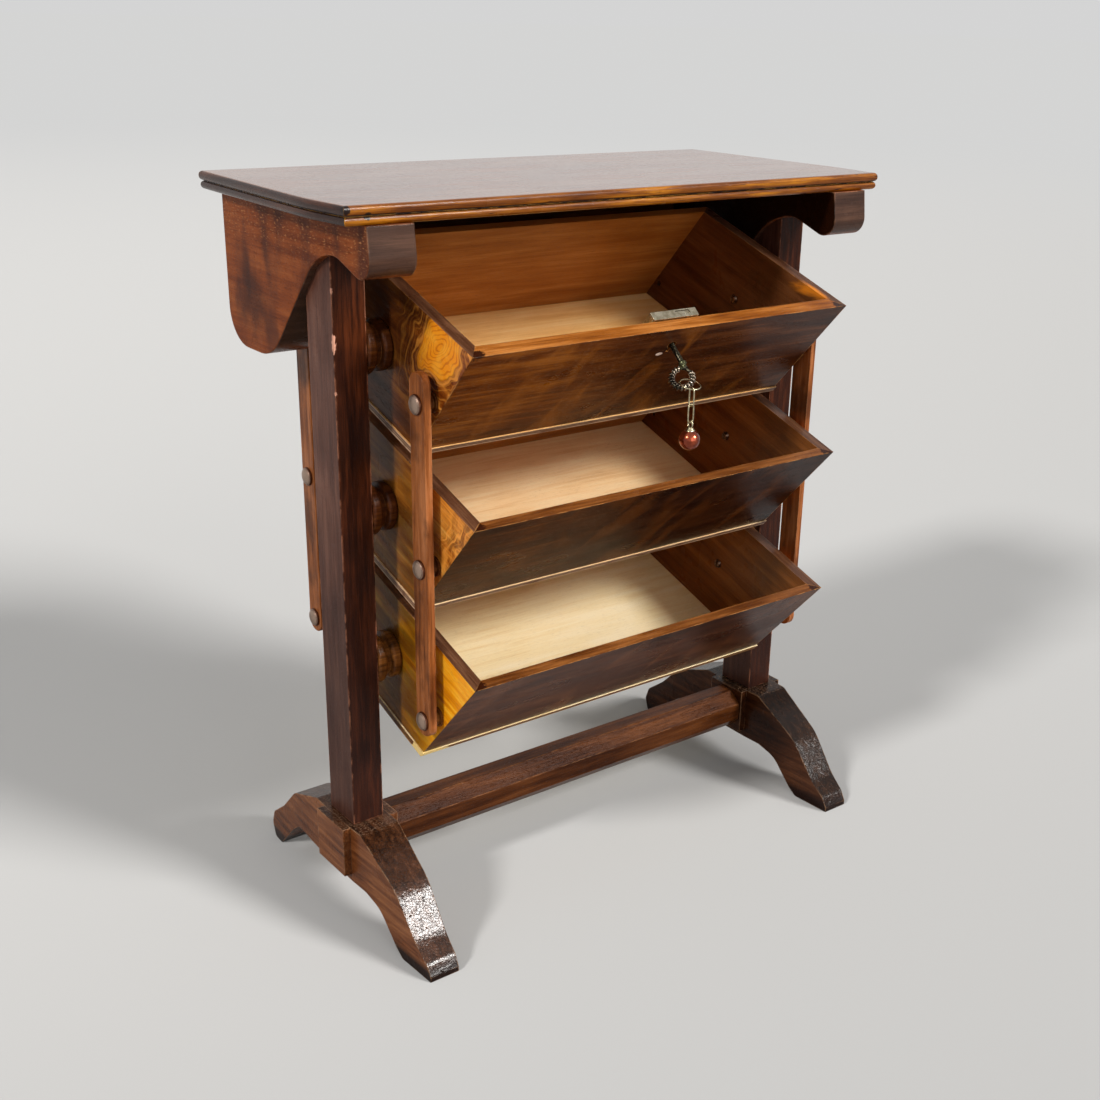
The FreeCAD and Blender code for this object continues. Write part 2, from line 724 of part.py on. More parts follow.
def make_tray(level, tray):
    """Front, back and sides mitred together on a plywood floor; every wall leans alike."""
    front_thickness = lock_front_thickness if level == 0 else plain_front_thickness
    front = front_thickness / cos(front_lean)
    back = tray_length - plain_front_thickness / cos(front_lean)
    outer = side_face
    inner = side_face - side_thickness
    front_board = wall(f"tray_{tray}_front", level,
                       [(-outer, 0), (outer, 0), (inner, front), (-inner, front)])
    if level == 0:
        front_board.Label = "tray_top_front_blank"
        keep(cut("tray_top_front", front_board, make_keyhole()))
    else:
        keep(front_board)
    keep(wall(f"tray_{tray}_back", level,
              [(-outer, tray_length), (-inner, back), (inner, back), (outer, tray_length)]))
    for name, side in SIDES:
        ring = [(side * outer, 0), (side * inner, front),
                (side * inner, back), (side * outer, tray_length)]
        blank = wall(f"tray_{tray}_side_{name}_blank", level, ring)
        spots = [(0, 0, pivot_screw_radius),
                 (front_link_along, front_link_up, link_screw_radius),
                 (back_link_along, back_link_up, link_screw_radius)]
        drills = bores(f"tray_{tray}_{name}", level, spots, side)
        keep(cut(f"tray_{tray}_side_{name}", blank, drills))
    floor = new_body(f"tray_{tray}_floor")
    sketch = new_sketch(floor, "YZ_Plane")
    top = floor_thickness - tray_height
    front_at_top = -top * tan(front_lean) - floor_lip
    front_at_bottom = tray_height * tan(front_lean) - floor_lip
    floor_length = tray_length + floor_lip * 2
    draw_polygon(sketch, [(front_at_top, top), (front_at_top + floor_length, top),
                          (front_at_bottom + floor_length, -tray_height),
                          (front_at_bottom, -tray_height)])
    pad(floor, sketch, tray_width + floor_lip * 2, both_ways=True)
    keep(tray_place(floor, level, rim_along, rim_up))


# ---------------------------------------------------------------- pivots
def make_bosses(level, tray):
    """Turned bobbins glued to both sides of a tray, running against the posts."""
    width = post_inner - side_face - boss_clearance
    bore = pivot_screw_radius + running_clearance
    glued_radius = boss_radius - boss_step
    glued_lip = (width - boss_groove) * boss_glued_share
    rubbing_lip = glued_lip + boss_groove
    slope = boss_groove / 4
    bosses = []
    for name, side in SIDES:
        body = new_body(f"boss_{tray}_{name}")
        sketch = new_sketch(body, "XY_Plane")
        draw_polygon(sketch, [(0, bore),
                              (0, glued_radius),
                              (glued_lip, glued_radius),
                              (glued_lip + slope, boss_waist_radius),
                              (rubbing_lip - slope, boss_waist_radius),
                              (rubbing_lip, boss_radius),
                              (width, boss_radius),
                              (width, bore)])
        revolve(body, sketch, "X_Axis")
        soften(body, lambda edge: isinstance(edge.Curve, Part.Circle)
               and edge.Curve.Radius > glued_radius.value - edge_softening.value, boss_round)
        place(body, side * side_face, post_line, pivot_height(level), 90 - 90 * side,
              Vector(0, 0, 1))
        bosses.append(body)
    keep(group(f"tray_{tray}_bosses", bosses))


def make_pivot_screws(name, side):
    """Flat-headed slotted screws that run through side and boss into the post."""
    screws = []
    reach = post_inner - (side_face - side_thickness) + pivot_screw_grip
    under_head = -link_play
    crown = under_head - pivot_head_height
    slot_floor = under_head - pivot_head_height / 2
    slot_half = pivot_slot_width / 2
    for level, tray in enumerate(LEVELS):
        body = new_body(f"pivot_screw_{name}_{tray}")
        sketch = new_sketch(body, "XY_Plane")
        draw_polygon(sketch, [(reach, 0), (reach, pivot_screw_radius),
                              (under_head, pivot_screw_radius), (under_head, pivot_head_radius),
                              (crown, pivot_head_radius - pivot_head_taper), (crown, 0)])
        revolve(body, sketch, "X_Axis")
        slot = new_sketch(body, "XY_Plane")
        draw_polygon(slot, [(crown - link_play, slot_half), (slot_floor, slot_half),
                            (slot_floor, -slot_half), (crown - link_play, -slot_half)])
        pocket_through(body, slot)
        place(body, side * (side_face - side_thickness), post_line, pivot_height(level),
              90 - 90 * side, Vector(0, 0, 1))
        screws.append(body)
    keep(group(f"pivot_screws_{name}", screws))


# ---------------------------------------------------------------- link bars
def link_spot(where):
    """Where a link's screw sits, ahead of the post line and above the pivot, at the open tilt."""
    if where == "front":
        along, up = front_link_along, front_link_up
    else:
        along, up = back_link_along, back_link_up
    ahead = along * cos(open_tilt) - up * sin(open_tilt)
    rise = along * sin(open_tilt) + up * cos(open_tilt)
    return ahead, rise


def make_link_bar(where, name, side):
    """Upright bar with rounded ends and three screw holes, one for each tray."""
    body = new_body(f"link_{where}_{name}")
    sketch = new_sketch(body, "YZ_Plane")
    half = link_width / 2
    bottom = -2 * tray_pitch - link_below_screw
    draw_polygon(sketch, [(half, bottom), (half, link_above_screw),
                          (-half, link_above_screw), (-half, bottom)])
    pad(body, sketch, link_thickness, backwards=side < 0)
    round_corners(body, ALONG_X, [
        (Vector(0, along.value, up.value), half - link_end_flat / 2)
        for along in (half, -half) for up in (link_above_screw, bottom)])
    for level in range(len(LEVELS)):
        drill = new_sketch(body, "YZ_Plane")
        draw_circle(drill, (0, -tray_pitch * level), link_screw_radius + running_clearance)
        pocket_through(body, drill)
    soften(body, lambda edge: abs(abs(edge.CenterOfMass.x) - link_thickness.value) < 1e-3
           and not (isinstance(edge.Curve, Part.Circle)
                    and edge.Curve.Radius < dome_radius.value), link_edge_round)
    ahead, rise = link_spot(where)
    place(body, side * (link_face + link_play / 2), post_line + ahead, top_pivot_height + rise)
    keep(body)


def dome_profile(rim):
    """Points on a screw's dome, at equal turns of an ellipse that starts at the rim."""
    turns = [as_size(90 * step / DOME_STEPS) for step in range(1, DOME_STEPS)]
    return [(rim + dome_height * sin(turn), dome_radius * cos(turn)) for turn in turns]


def make_link_hardware(level, tray):
    """Bobbin spacers and dome-headed screws that carry the four link bars on one tray."""
    spacers = []
    screws = []
    for where in ("front", "back"):
        ahead, rise = link_spot(where)
        for name, side in SIDES:
            spot = (post_line + ahead, pivot_height(level) + rise, 90 - 90 * side)
            spacer = new_body(f"spacer_{tray}_{where}_{name}")
            sketch = new_sketch(spacer, "XY_Plane")
            slope = spacer_lip / 2
            draw_polygon(sketch, [(0, link_screw_radius),
                                  (0, spacer_radius),
                                  (spacer_lip, spacer_radius),
                                  (spacer_lip + slope, spacer_waist_radius),
                                  (spacer_length - spacer_lip - slope, spacer_waist_radius),
                                  (spacer_length - spacer_lip, spacer_radius),
                                  (spacer_length, spacer_radius),
                                  (spacer_length, link_screw_radius)])
            revolve(spacer, sketch, "X_Axis")
            place(spacer, side * side_face, *spot, Vector(0, 0, 1))
            spacers.append(spacer)
            screw = new_body(f"link_screw_{tray}_{where}_{name}")
            outline = new_sketch(screw, "XY_Plane")
            under_head = spacer_length + link_thickness + link_play
            crown = under_head + dome_rim + dome_height
            draw_polygon(outline, [(-link_screw_bite, 0),
                                   (-link_screw_bite, link_screw_radius),
                                   (under_head, link_screw_radius),
                                   (under_head, dome_radius),
                                   (under_head + dome_rim, dome_radius)]
                         + dome_profile(under_head + dome_rim) + [(crown, 0)])
            revolve(screw, outline, "X_Axis")
            place(screw, side * side_face, *spot, Vector(0, 0, 1))
            screws.append(screw)
    keep(group(f"tray_{tray}_link_spacers", spacers))
    keep(group(f"tray_{tray}_link_screws", screws))


# ---------------------------------------------------------------- lock and key
def lock_place(thing, x, inward, up):
    """Place something square to the top tray's front: inward from its face, up from the rim."""
    ahead, rise = lock_spot(inward, up)
    return place(thing, x, post_line + ahead, pivot_height(0) + rise, full_swing)


def lock_box(label, x, inward, up, across, deep, tall):
    """A box in the lock's frame, given its low corner and its three sizes."""
    return lock_place(solid("Box", label, Length=across, Width=deep, Height=tall),
                      as_size(x), as_size(inward), as_size(up))


def make_keyhole():
    """Round eye with a slot below it, through the top tray's front."""
    ahead, rise = lock_spot(lock_front_thickness * -0.5, -key_drop)
    eye = solid("Cylinder", "keyhole_eye", Radius=key_shank_radius + keyhole_clearance,
                Height=lock_front_thickness * 2)
    place(eye, key_place, post_line + ahead, pivot_height(0) + rise, 90 - full_swing,
          Vector(-1, 0, 0))
    slot = lock_box("keyhole_slot", key_place - keyhole_slot_width / 2,
                    lock_front_thickness * -0.5, -key_drop - keyhole_slot_drop,
                    keyhole_slot_width, lock_front_thickness * 2, keyhole_slot_drop)
    return combine("MultiFuse", "keyhole", [eye, slot])


def make_lock():
    """Steel box lock on the inner face of the front, its plate just proud of the rim."""
    left = lock_middle - lock_width / 2
    plate_bottom = -lock_plate_drop - lock_plate_thickness
    case_bottom = plate_bottom - lock_height
    shell = lock_box("lock_shell", left, lock_front_thickness, case_bottom,
                     lock_width, lock_depth, lock_height)
    room = lock_box("lock_room", left + lock_wall, lock_front_thickness,
                    case_bottom + lock_wall, lock_width - lock_wall * 2,
                    lock_depth - lock_wall, lock_height)
    keep(cut("lock_case", shell, room))
    bolt_left = bolt_middle - bolt_width / 2
    plate = lock_box("lock_plate_blank", left, lock_front_thickness, plate_bottom,
                     lock_width, lock_depth, lock_plate_thickness)
    mouth = lock_box("lock_mouth", bolt_left - bolt_clearance, bolt_line - bolt_clearance,
                     plate_bottom - lock_plate_thickness, bolt_width + bolt_clearance * 2,
                     bolt_thickness + bolt_clearance * 2, lock_plate_thickness * 3)
    keep(cut("lock_plate", plate, mouth))
    keep(lock_box("lock_bolt", bolt_left, bolt_line, -bolt_tip_drop - bolt_height,
                  bolt_width, bolt_thickness, bolt_height))


def turn_bow(ring, start=0):
    """Lay a ring flat along the key, rolled about the key's axis, its arc from a start angle."""
    lean = Rotation(Vector(1, 0, 0), full_swing.value)
    roll = Rotation(Vector(0, 1, 0), -bow_roll.value)
    ring.setExpression("Placement.Rotation.Angle", None)
    ring.Placement.Rotation = lean * roll * Rotation(Vector(0, 0, 1), start)
    return ring


def bow_ring(label, tube_radius, start=0, sweep=360):
    """A ring in the plane of the key's bow."""
    ring = solid("Torus", label, Radius1=bow_radius, Radius2=tube_radius, Angle3=sweep)
    lock_place(ring, bow_across, -key_reach, bow_up)
    return turn_bow(ring, start)


def make_key():
    """Shank, collar, bit and a ring bow that is bound with wire except where the shank joins.

    The tip of the shank bears on the back of the lock case, and the bit turns ahead of the bolt.
    """
    tip = lock_front_thickness + lock_depth - lock_wall - running_clearance
    joint = math.degrees(math.acos(bow_shift.value / bow_radius.value))
    neck = key_reach - bow_radius * sin(as_size(joint))
    collar_front = key_collar_place - neck
    collar_back = collar_front + key_collar_length
    flare = key_collar_radius - key_shank_radius
    body = new_body("key_shank")
    sketch = new_sketch(body, "XY_Plane")
    draw_polygon(sketch, [(0, -neck),
                          (key_shank_radius, -neck),
                          (key_shank_radius, collar_front - flare),
                          (key_collar_radius, collar_front),
                          (key_collar_radius, collar_back),
                          (key_shank_radius, collar_back + flare),
                          (key_shank_radius, tip),
                          (0, tip)])
    revolve(body, sketch, "Y_Axis")
    lock_place(body, key_place, as_size(0), -key_drop)
    bit = lock_box("key_bit", key_place - key_bit_width / 2,
                   bolt_line - bolt_clearance / 2 - key_bit_length,
                   -key_drop - key_bit_drop, key_bit_width, key_bit_length, key_bit_drop)
    keep(combine("MultiFuse", "key", [body, bit, bow_ring("key_bow", bow_wire_radius)]))
    winding = bow_ring("winding_blank", winding_radius, joint + winding_gap.value / 2,
                       360 - winding_gap)
    core = bow_ring("winding_core", bow_wire_radius + running_clearance)
    keep(cut("key_winding", winding, core))


def hang_place(thing, drop, turn=None, axis=Vector(0, 0, 1)):
    """Place something on the plumb line below the wire loop's front edge."""
    return place(thing, hang_across, post_line + hang_ahead,
                 pivot_height(0) + hang_rise - drop, turn, axis)


def chain_link(label, drop, turn):
    """Oblong link whose upper bend is at the given drop: two half rings and two straights."""
    pieces = []
    middle = link_inner_half + chain_wire_radius
    for end, spin in (("upper", 0), ("lower", 180)):
        bend = solid("Torus", f"{label}_{end}", Radius1=middle, Radius2=chain_wire_radius,
                     Angle3=180)
        hang_place(bend, drop + middle + (link_straight if end == "lower" else 0))
        bend.Placement.Rotation = (Rotation(Vector(0, 0, 1), turn)
                                   * Rotation(Vector(1, 0, 0), 90)
                                   * Rotation(Vector(0, 0, 1), spin))
        pieces.append(bend)
    for way in (1, -1):
        rod = solid("Cylinder", f"{label}_rod", Radius=chain_wire_radius, Height=link_straight)
        hang_place(rod, drop + middle + link_straight)
        if turn:
            bind(rod, "Placement.Base.y", post_line + hang_ahead + way * middle)
        else:
            bind(rod, "Placement.Base.x", hang_across + way * middle)
        pieces.append(rod)
    return combine("MultiFuse", label, pieces)


def make_chain():
    """Wire loop round the bow, two links, and the capped ball that hangs from them."""
    loop = solid("Torus", "key_loop", Radius1=loop_radius, Radius2=loop_wire_radius)
    keep(place(loop, loop_across, post_line + loop_ahead, pivot_height(0) + loop_rise,
               loop_tip))
    first = -(loop_wire_radius + chain_wire_radius + chain_gap)
    pitch = link_straight + 2 * link_inner_half - chain_gap
    keep(chain_link("chain_link_upper", first, 90))
    keep(chain_link("chain_link_lower", first + pitch, 0))
    eye_middle = first + 2 * pitch + charm_eye_radius
    eye = solid("Torus", "charm_eye", Radius1=charm_eye_radius, Radius2=chain_wire_radius)
    hang_place(eye, eye_middle, 90, Vector(0, 1, 0))
    cap_top = eye_middle + charm_eye_radius - chain_wire_radius / 2
    cap = solid("Cone", "charm_cap_cone", Radius1=charm_cap_radius,
                Radius2=charm_cap_neck, Height=charm_cap_height)
    hang_place(cap, cap_top + charm_cap_height)
    depth = math.sqrt(charm_radius.value ** 2 - charm_cap_radius.value ** 2)
    ball_middle = cap_top + charm_cap_height + depth
    ball = solid("Sphere", "charm_ball", Radius=charm_radius)
    seat = solid("Sphere", "charm_seat", Radius=charm_radius)
    for sphere in (ball, seat):
        hang_place(sphere, ball_middle)
    keep(cut("charm_cap", combine("MultiFuse", "charm_cap_blank", [eye, cap]), seat))
    keep(ball)


# ---------------------------------------------------------------- build
make_top_board()
for side_name, side_sign in SIDES:
    make_apron(side_name, side_sign)
    make_post(side_name, side_sign)
    make_foot(side_name, side_sign)
    make_cheeks(side_name, side_sign)
    make_pivot_screws(side_name, side_sign)
    for link_where in ("front", "back"):
        make_link_bar(link_where, side_name, side_sign)
make_back_rail()
make_stretcher()
for tray_level, tray_name in enumerate(LEVELS):
    make_tray(tray_level, tray_name)
    make_bosses(tray_level, tray_name)
    make_link_hardware(tray_level, tray_name)
make_lock()
make_key()
make_chain()
doc.recompute()

faults = [thing.Name for thing in doc.Objects
          if "Invalid" in thing.State or "Error" in thing.State]
faults += [part.Label for part in parts if part.Shape.isNull() or not part.Shape.isValid()]
if faults:
    raise RuntimeError(f"these did not build: {faults}")

os.makedirs("parts", exist_ok=True)
for part in parts:
    part.Shape.exportStep(f"parts/{part.Label}.step")
print(len(parts), "sub-parts written")
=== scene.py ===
"""Finish and light for a notions stand whose three trays tilt together between two posts."""

import json
import math

import bmesh
import bpy
import numpy as np
from mathutils import Matrix, Vector


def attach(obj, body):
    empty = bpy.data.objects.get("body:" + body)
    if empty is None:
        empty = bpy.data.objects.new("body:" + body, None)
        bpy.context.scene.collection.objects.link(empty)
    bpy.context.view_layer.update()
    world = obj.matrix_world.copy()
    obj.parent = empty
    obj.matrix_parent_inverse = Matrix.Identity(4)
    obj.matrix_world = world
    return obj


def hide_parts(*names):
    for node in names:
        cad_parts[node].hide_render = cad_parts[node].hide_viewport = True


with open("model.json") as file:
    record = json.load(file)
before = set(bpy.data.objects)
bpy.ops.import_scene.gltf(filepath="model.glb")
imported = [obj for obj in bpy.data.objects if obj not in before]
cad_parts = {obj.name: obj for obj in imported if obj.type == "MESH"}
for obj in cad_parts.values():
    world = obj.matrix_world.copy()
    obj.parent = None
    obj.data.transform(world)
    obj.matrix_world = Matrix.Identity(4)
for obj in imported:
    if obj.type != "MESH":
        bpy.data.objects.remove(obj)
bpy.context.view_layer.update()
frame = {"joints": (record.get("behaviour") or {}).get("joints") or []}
joints = {joint["name"]: joint for joint in frame["joints"]}

LEFT, RIGHT, FORWARD, BACKWARD = (-1, 0, 0), (1, 0, 0), (0, -1, 0), (0, 1, 0)
UP, DOWN = (0, 0, 1), (0, 0, -1)
HERE = (0.0, 0.0, 0.0)

# The trays' pivots, and how the open trays lie, in radians. Their floors fall to the front, and
# their fronts stand upright once the trays have turned to their upper limit.
LEVELS = ("top", "middle", "bottom")
PIVOTS = {level: joints["tray_" + level + "_tilt"]["pos_m"] for level in LEVELS}
TRAY_TILT = math.radians(18.5)
FRONT_TURN = math.radians(joints["tray_top_tilt"]["range_deg"][1])
TRAY_UP = (0.0, -math.sin(TRAY_TILT), math.cos(TRAY_TILT))
TRAY_DOWN = tuple(-part for part in TRAY_UP)
FRONT_OUT = (0.0, -math.cos(FRONT_TURN), -math.sin(FRONT_TURN))

# Turns that carry the grain's own Z along the named run of a board.
ACROSS = (0.0, math.radians(90), 0.0)
UPRIGHT = HERE
FORE_AND_AFT = (math.radians(90), 0.0, 0.0)
ALONG_TRAY = (math.radians(90) + TRAY_TILT, 0.0, 0.0)

# A tray's grain starts this much farther on than that of the tray above, and the right side's
# farther on than the left side's, so that no two boards look alike.
GRAIN_STEP = 0.37
RIGHT_SIDE_STEP = 0.1

# The height of the groove between the board's two beads; how far a tray's floor reaches below its
# pivot, square to the floor; and the floor's thickness.
BEAD_GROOVE = 0.5926
FLOOR_UNDERSIDE = 0.0585
FLOOR_THICKNESS = 0.0055

# The key's ring, out from the key's turning joint and aside from the shank, turned with the front
# and then rolled; and the collar on the shank.
KEY_JOINT = Vector(joints["key_turn"]["pos_m"])
RING_OUT = 0.029
RING_ASIDE = 0.006
RING_RADIUS = 0.0082
RING_ROLL = math.radians(-35)
COLLAR_OUT = 0.01913
COLLAR_HALF = 0.003

# Damage and stains, a painted shadow and a painted patch of light, each a place and the radii of the blot.
BOARD_DENTS = (
    ((-0.2604, -0.0845, 0.5975), (0.0035, 0.0035, 0.0035)),
    ((-0.2435, -0.0845, 0.5925), (0.0028, 0.0028, 0.0028)),
)
POST_CHIPS = (
    ((-0.24, -0.0209, 0.4935), (0.0021, 0.0021, 0.0066)),
    ((-0.24, -0.0209, 0.532), (0.0012, 0.0012, 0.0022)),
    ((-0.24, -0.0209, 0.456), (0.0013, 0.0013, 0.0014)),
)
APRON_SHADOW = ((-0.2462, 0.098, 0.507), (0.03, 0.02, 0.024))
KEYHOLE_CHIP = ((-0.0002, -0.1071, 0.4747), (0.0034, 0.0018, 0.002))
ORANGE_LIGHT_PATCH = ((0.178, -0.106, 0.508), (0.004, 0.026, 0.006))
SPLIT_PLY = ((-0.186, -0.044, 0.152), (0.024, 0.012, 0.008))

# The dark mitres of a tray's front: how far they are aside, where they are along Y, how far above
# the tray's pivot, and their radii.
MITRE_ASIDE = 0.183
MITRE_LINE = -0.1245
MITRE_RISE = 0.0155
MITRE_RADII = (0.006, 0.005, 0.004)

# The burl on the left sides: its middle, and how much of the knot's golden heart shows.
KNOTS = {"top": ((-0.189, -0.087, 0.4966), 1.0), "middle": ((-0.189, -0.14, 0.335), 0.0)}

# How thick the varnish lies on each foot's front leg.
LEG_COATS = {"left": 0.85, "right": 0.3}

# Stains, each dark, middle and light, in shades from 0 to 255. Some are darker or lighter copies that stand
# for painted shade or painted sheen, as marked below.
STAINS = {
    "board_top": ((100, 60, 38), (124, 78, 50), (146, 96, 64)),
    "board_front": ((74, 36, 3), (118, 65, 6), (176, 110, 22)),
    "board_ends": ((34, 18, 12), (52, 29, 20), (84, 48, 30)),
    "apron": ((100, 48, 22), (126, 64, 30), (148, 82, 42)),
    "apron_nose": ((50, 33, 26), (66, 45, 35), (84, 59, 46)),
    "post": ((34, 15, 8), (54, 27, 15), (84, 43, 24)),
    # A lighter, greyer copy of the post's stain, as painted sheen on its left faces.
    "post_left_sheen": ((66, 40, 32), (88, 56, 45), (110, 74, 60)),
    "foot_left": ((70, 38, 21), (104, 61, 35), (134, 85, 52)),
    "foot_left_slope": ((38, 22, 13), (66, 40, 25), (96, 62, 42)),
    # The right foot's stains are darker copies of the left foot's, as painted shade.
    "foot_right": ((42, 23, 13), (64, 37, 22), (88, 54, 34)),
    "foot_right_slope": ((24, 14, 8), (42, 26, 16), (64, 42, 28)),
    "rail": ((48, 25, 12), (73, 41, 21), (99, 59, 32)),
    "bar": ((98, 52, 24), (138, 80, 42), (166, 104, 64)),
    # The top and middle bosses' stains are darker than the bottom's, as painted shade.
    "boss_top": ((40, 20, 11), (70, 37, 18), (102, 60, 28)),
    "boss_middle": ((42, 21, 11), (74, 39, 19), (106, 63, 29)),
    "boss_bottom": ((66, 40, 20), (112, 68, 32), (152, 100, 48)),
    "front_top_brown": ((66, 30, 8), (100, 51, 16), (142, 82, 30)),
    "front_top_red": ((42, 20, 9), (64, 34, 17), (94, 54, 28)),
    "front_middle_brown": ((42, 18, 5), (62, 30, 9), (92, 50, 19)),
    "front_middle_red": ((28, 13, 6), (42, 20, 10), (62, 34, 18)),
    "front_bottom_brown": ((52, 26, 13), (76, 41, 22), (104, 62, 36)),
    "front_bottom_red": ((42, 21, 12), (62, 33, 19), (86, 50, 32)),
    "front_inside": ((88, 42, 16), (118, 62, 26), (150, 88, 40)),
    "front_rim_bright": ((104, 54, 20), (144, 84, 34), (182, 116, 58)),
    "front_rim": ((74, 40, 18), (106, 62, 30), (140, 88, 46)),
    "side_top": ((104, 50, 18), (152, 82, 28), (192, 120, 46)),
    "side_middle": ((176, 96, 30), (222, 140, 54), (244, 178, 86)),
    "side_bottom": ((200, 112, 12), (240, 152, 22), (252, 186, 54)),
    # A darker copy of the inner stain, as painted shade within the top tray.
    "side_inside_shaded": ((76, 43, 22), (98, 59, 34), (120, 77, 48)),
    "side_inside": ((94, 52, 22), (120, 70, 32), (144, 90, 46)),
    "side_rim": ((58, 34, 22), (84, 54, 38), (118, 82, 60)),
    "back_inside": ((138, 80, 32), (160, 98, 44), (182, 118, 60)),
    "back_outside": ((64, 31, 13), (92, 50, 22), (126, 76, 36)),
    # The upper trays' floors are darker than the bottom's, as painted shade.
    "ply_top": ((230, 168, 98), (244, 190, 120), (251, 208, 144)),
    "ply_middle": ((232, 186, 132), (246, 208, 156), (251, 222, 176)),
    "ply_bottom": ((238, 210, 154), (248, 227, 179), (252, 235, 196)),
}

# The light and the dark layers that show in the edge of each tray's floor.
PLY_LAYERS = {
    "top": ((196, 158, 126), (74, 40, 26)),
    "middle": ((196, 158, 126), (74, 40, 26)),
    "bottom": ((158, 112, 64), (58, 32, 18)),
}


def tone(red, green, blue):
    """A colour in linear light, from its red, green and blue from 0 to 255."""
    return tuple((part / 255) ** 2.2 for part in (red, green, blue)) + (1.0,)


def threefold(size):
    """A size along X, Y and Z, from one number for all of them or from three."""
    return (size, size, size) if isinstance(size, float) else size


class Nodes:
    """A node tree being filled. Each method adds a node and gives back its result."""

    def __init__(self, tree):
        self.tree = tree
        tree.nodes.clear()

    def add(self, kind, inputs=(), **settings):
        """Adds a node, sets what it is told and feeds its inputs, by name or by number."""
        node = self.tree.nodes.new(kind)
        for key, value in settings.items():
            setattr(node, key, value)
        for key, value in dict(inputs).items():
            if isinstance(value, bpy.types.NodeSocket):
                self.tree.links.new(value, node.inputs[key])
            else:
                node.inputs[key].default_value = value
        return node

    def math(self, operation, first, second=0.0):
        """One sum on one or two values."""
        return self.add("ShaderNodeMath", {0: first, 1: second}, operation=operation).outputs[0]

    def both(self, first, second):
        """The product: one where both masks are one, or a mask made weaker by a number."""
        return self.math("MULTIPLY", first, second)

    def total(self, *shares):
        """The sum of values, each times its weight."""
        result = 0.0
        for weight, value in shares:
            inputs = {0: value, 1: weight, 2: result}
            result = self.add("ShaderNodeMath", inputs, operation="MULTIPLY_ADD").outputs[0]
        return result

    def ease(self, value, start, end, low=0.0, high=1.0):
        """Goes from low to high, smoothly, as the value goes from start to end."""
        inputs = {"Value": value, "From Min": start, "From Max": end, "To Min": low, "To Max": high}
        return self.add("ShaderNodeMapRange", inputs, interpolation_type="SMOOTHSTEP").outputs[0]

    def dot(self, first, second):
        """How far one direction or place reaches along another."""
        node = self.add("ShaderNodeVectorMath", {0: first, 1: second}, operation="DOT_PRODUCT")
        return node.outputs["Value"]

    def length(self, vector):
        """How long a vector is."""
        return self.add("ShaderNodeVectorMath", {0: vector}, operation="LENGTH").outputs["Value"]


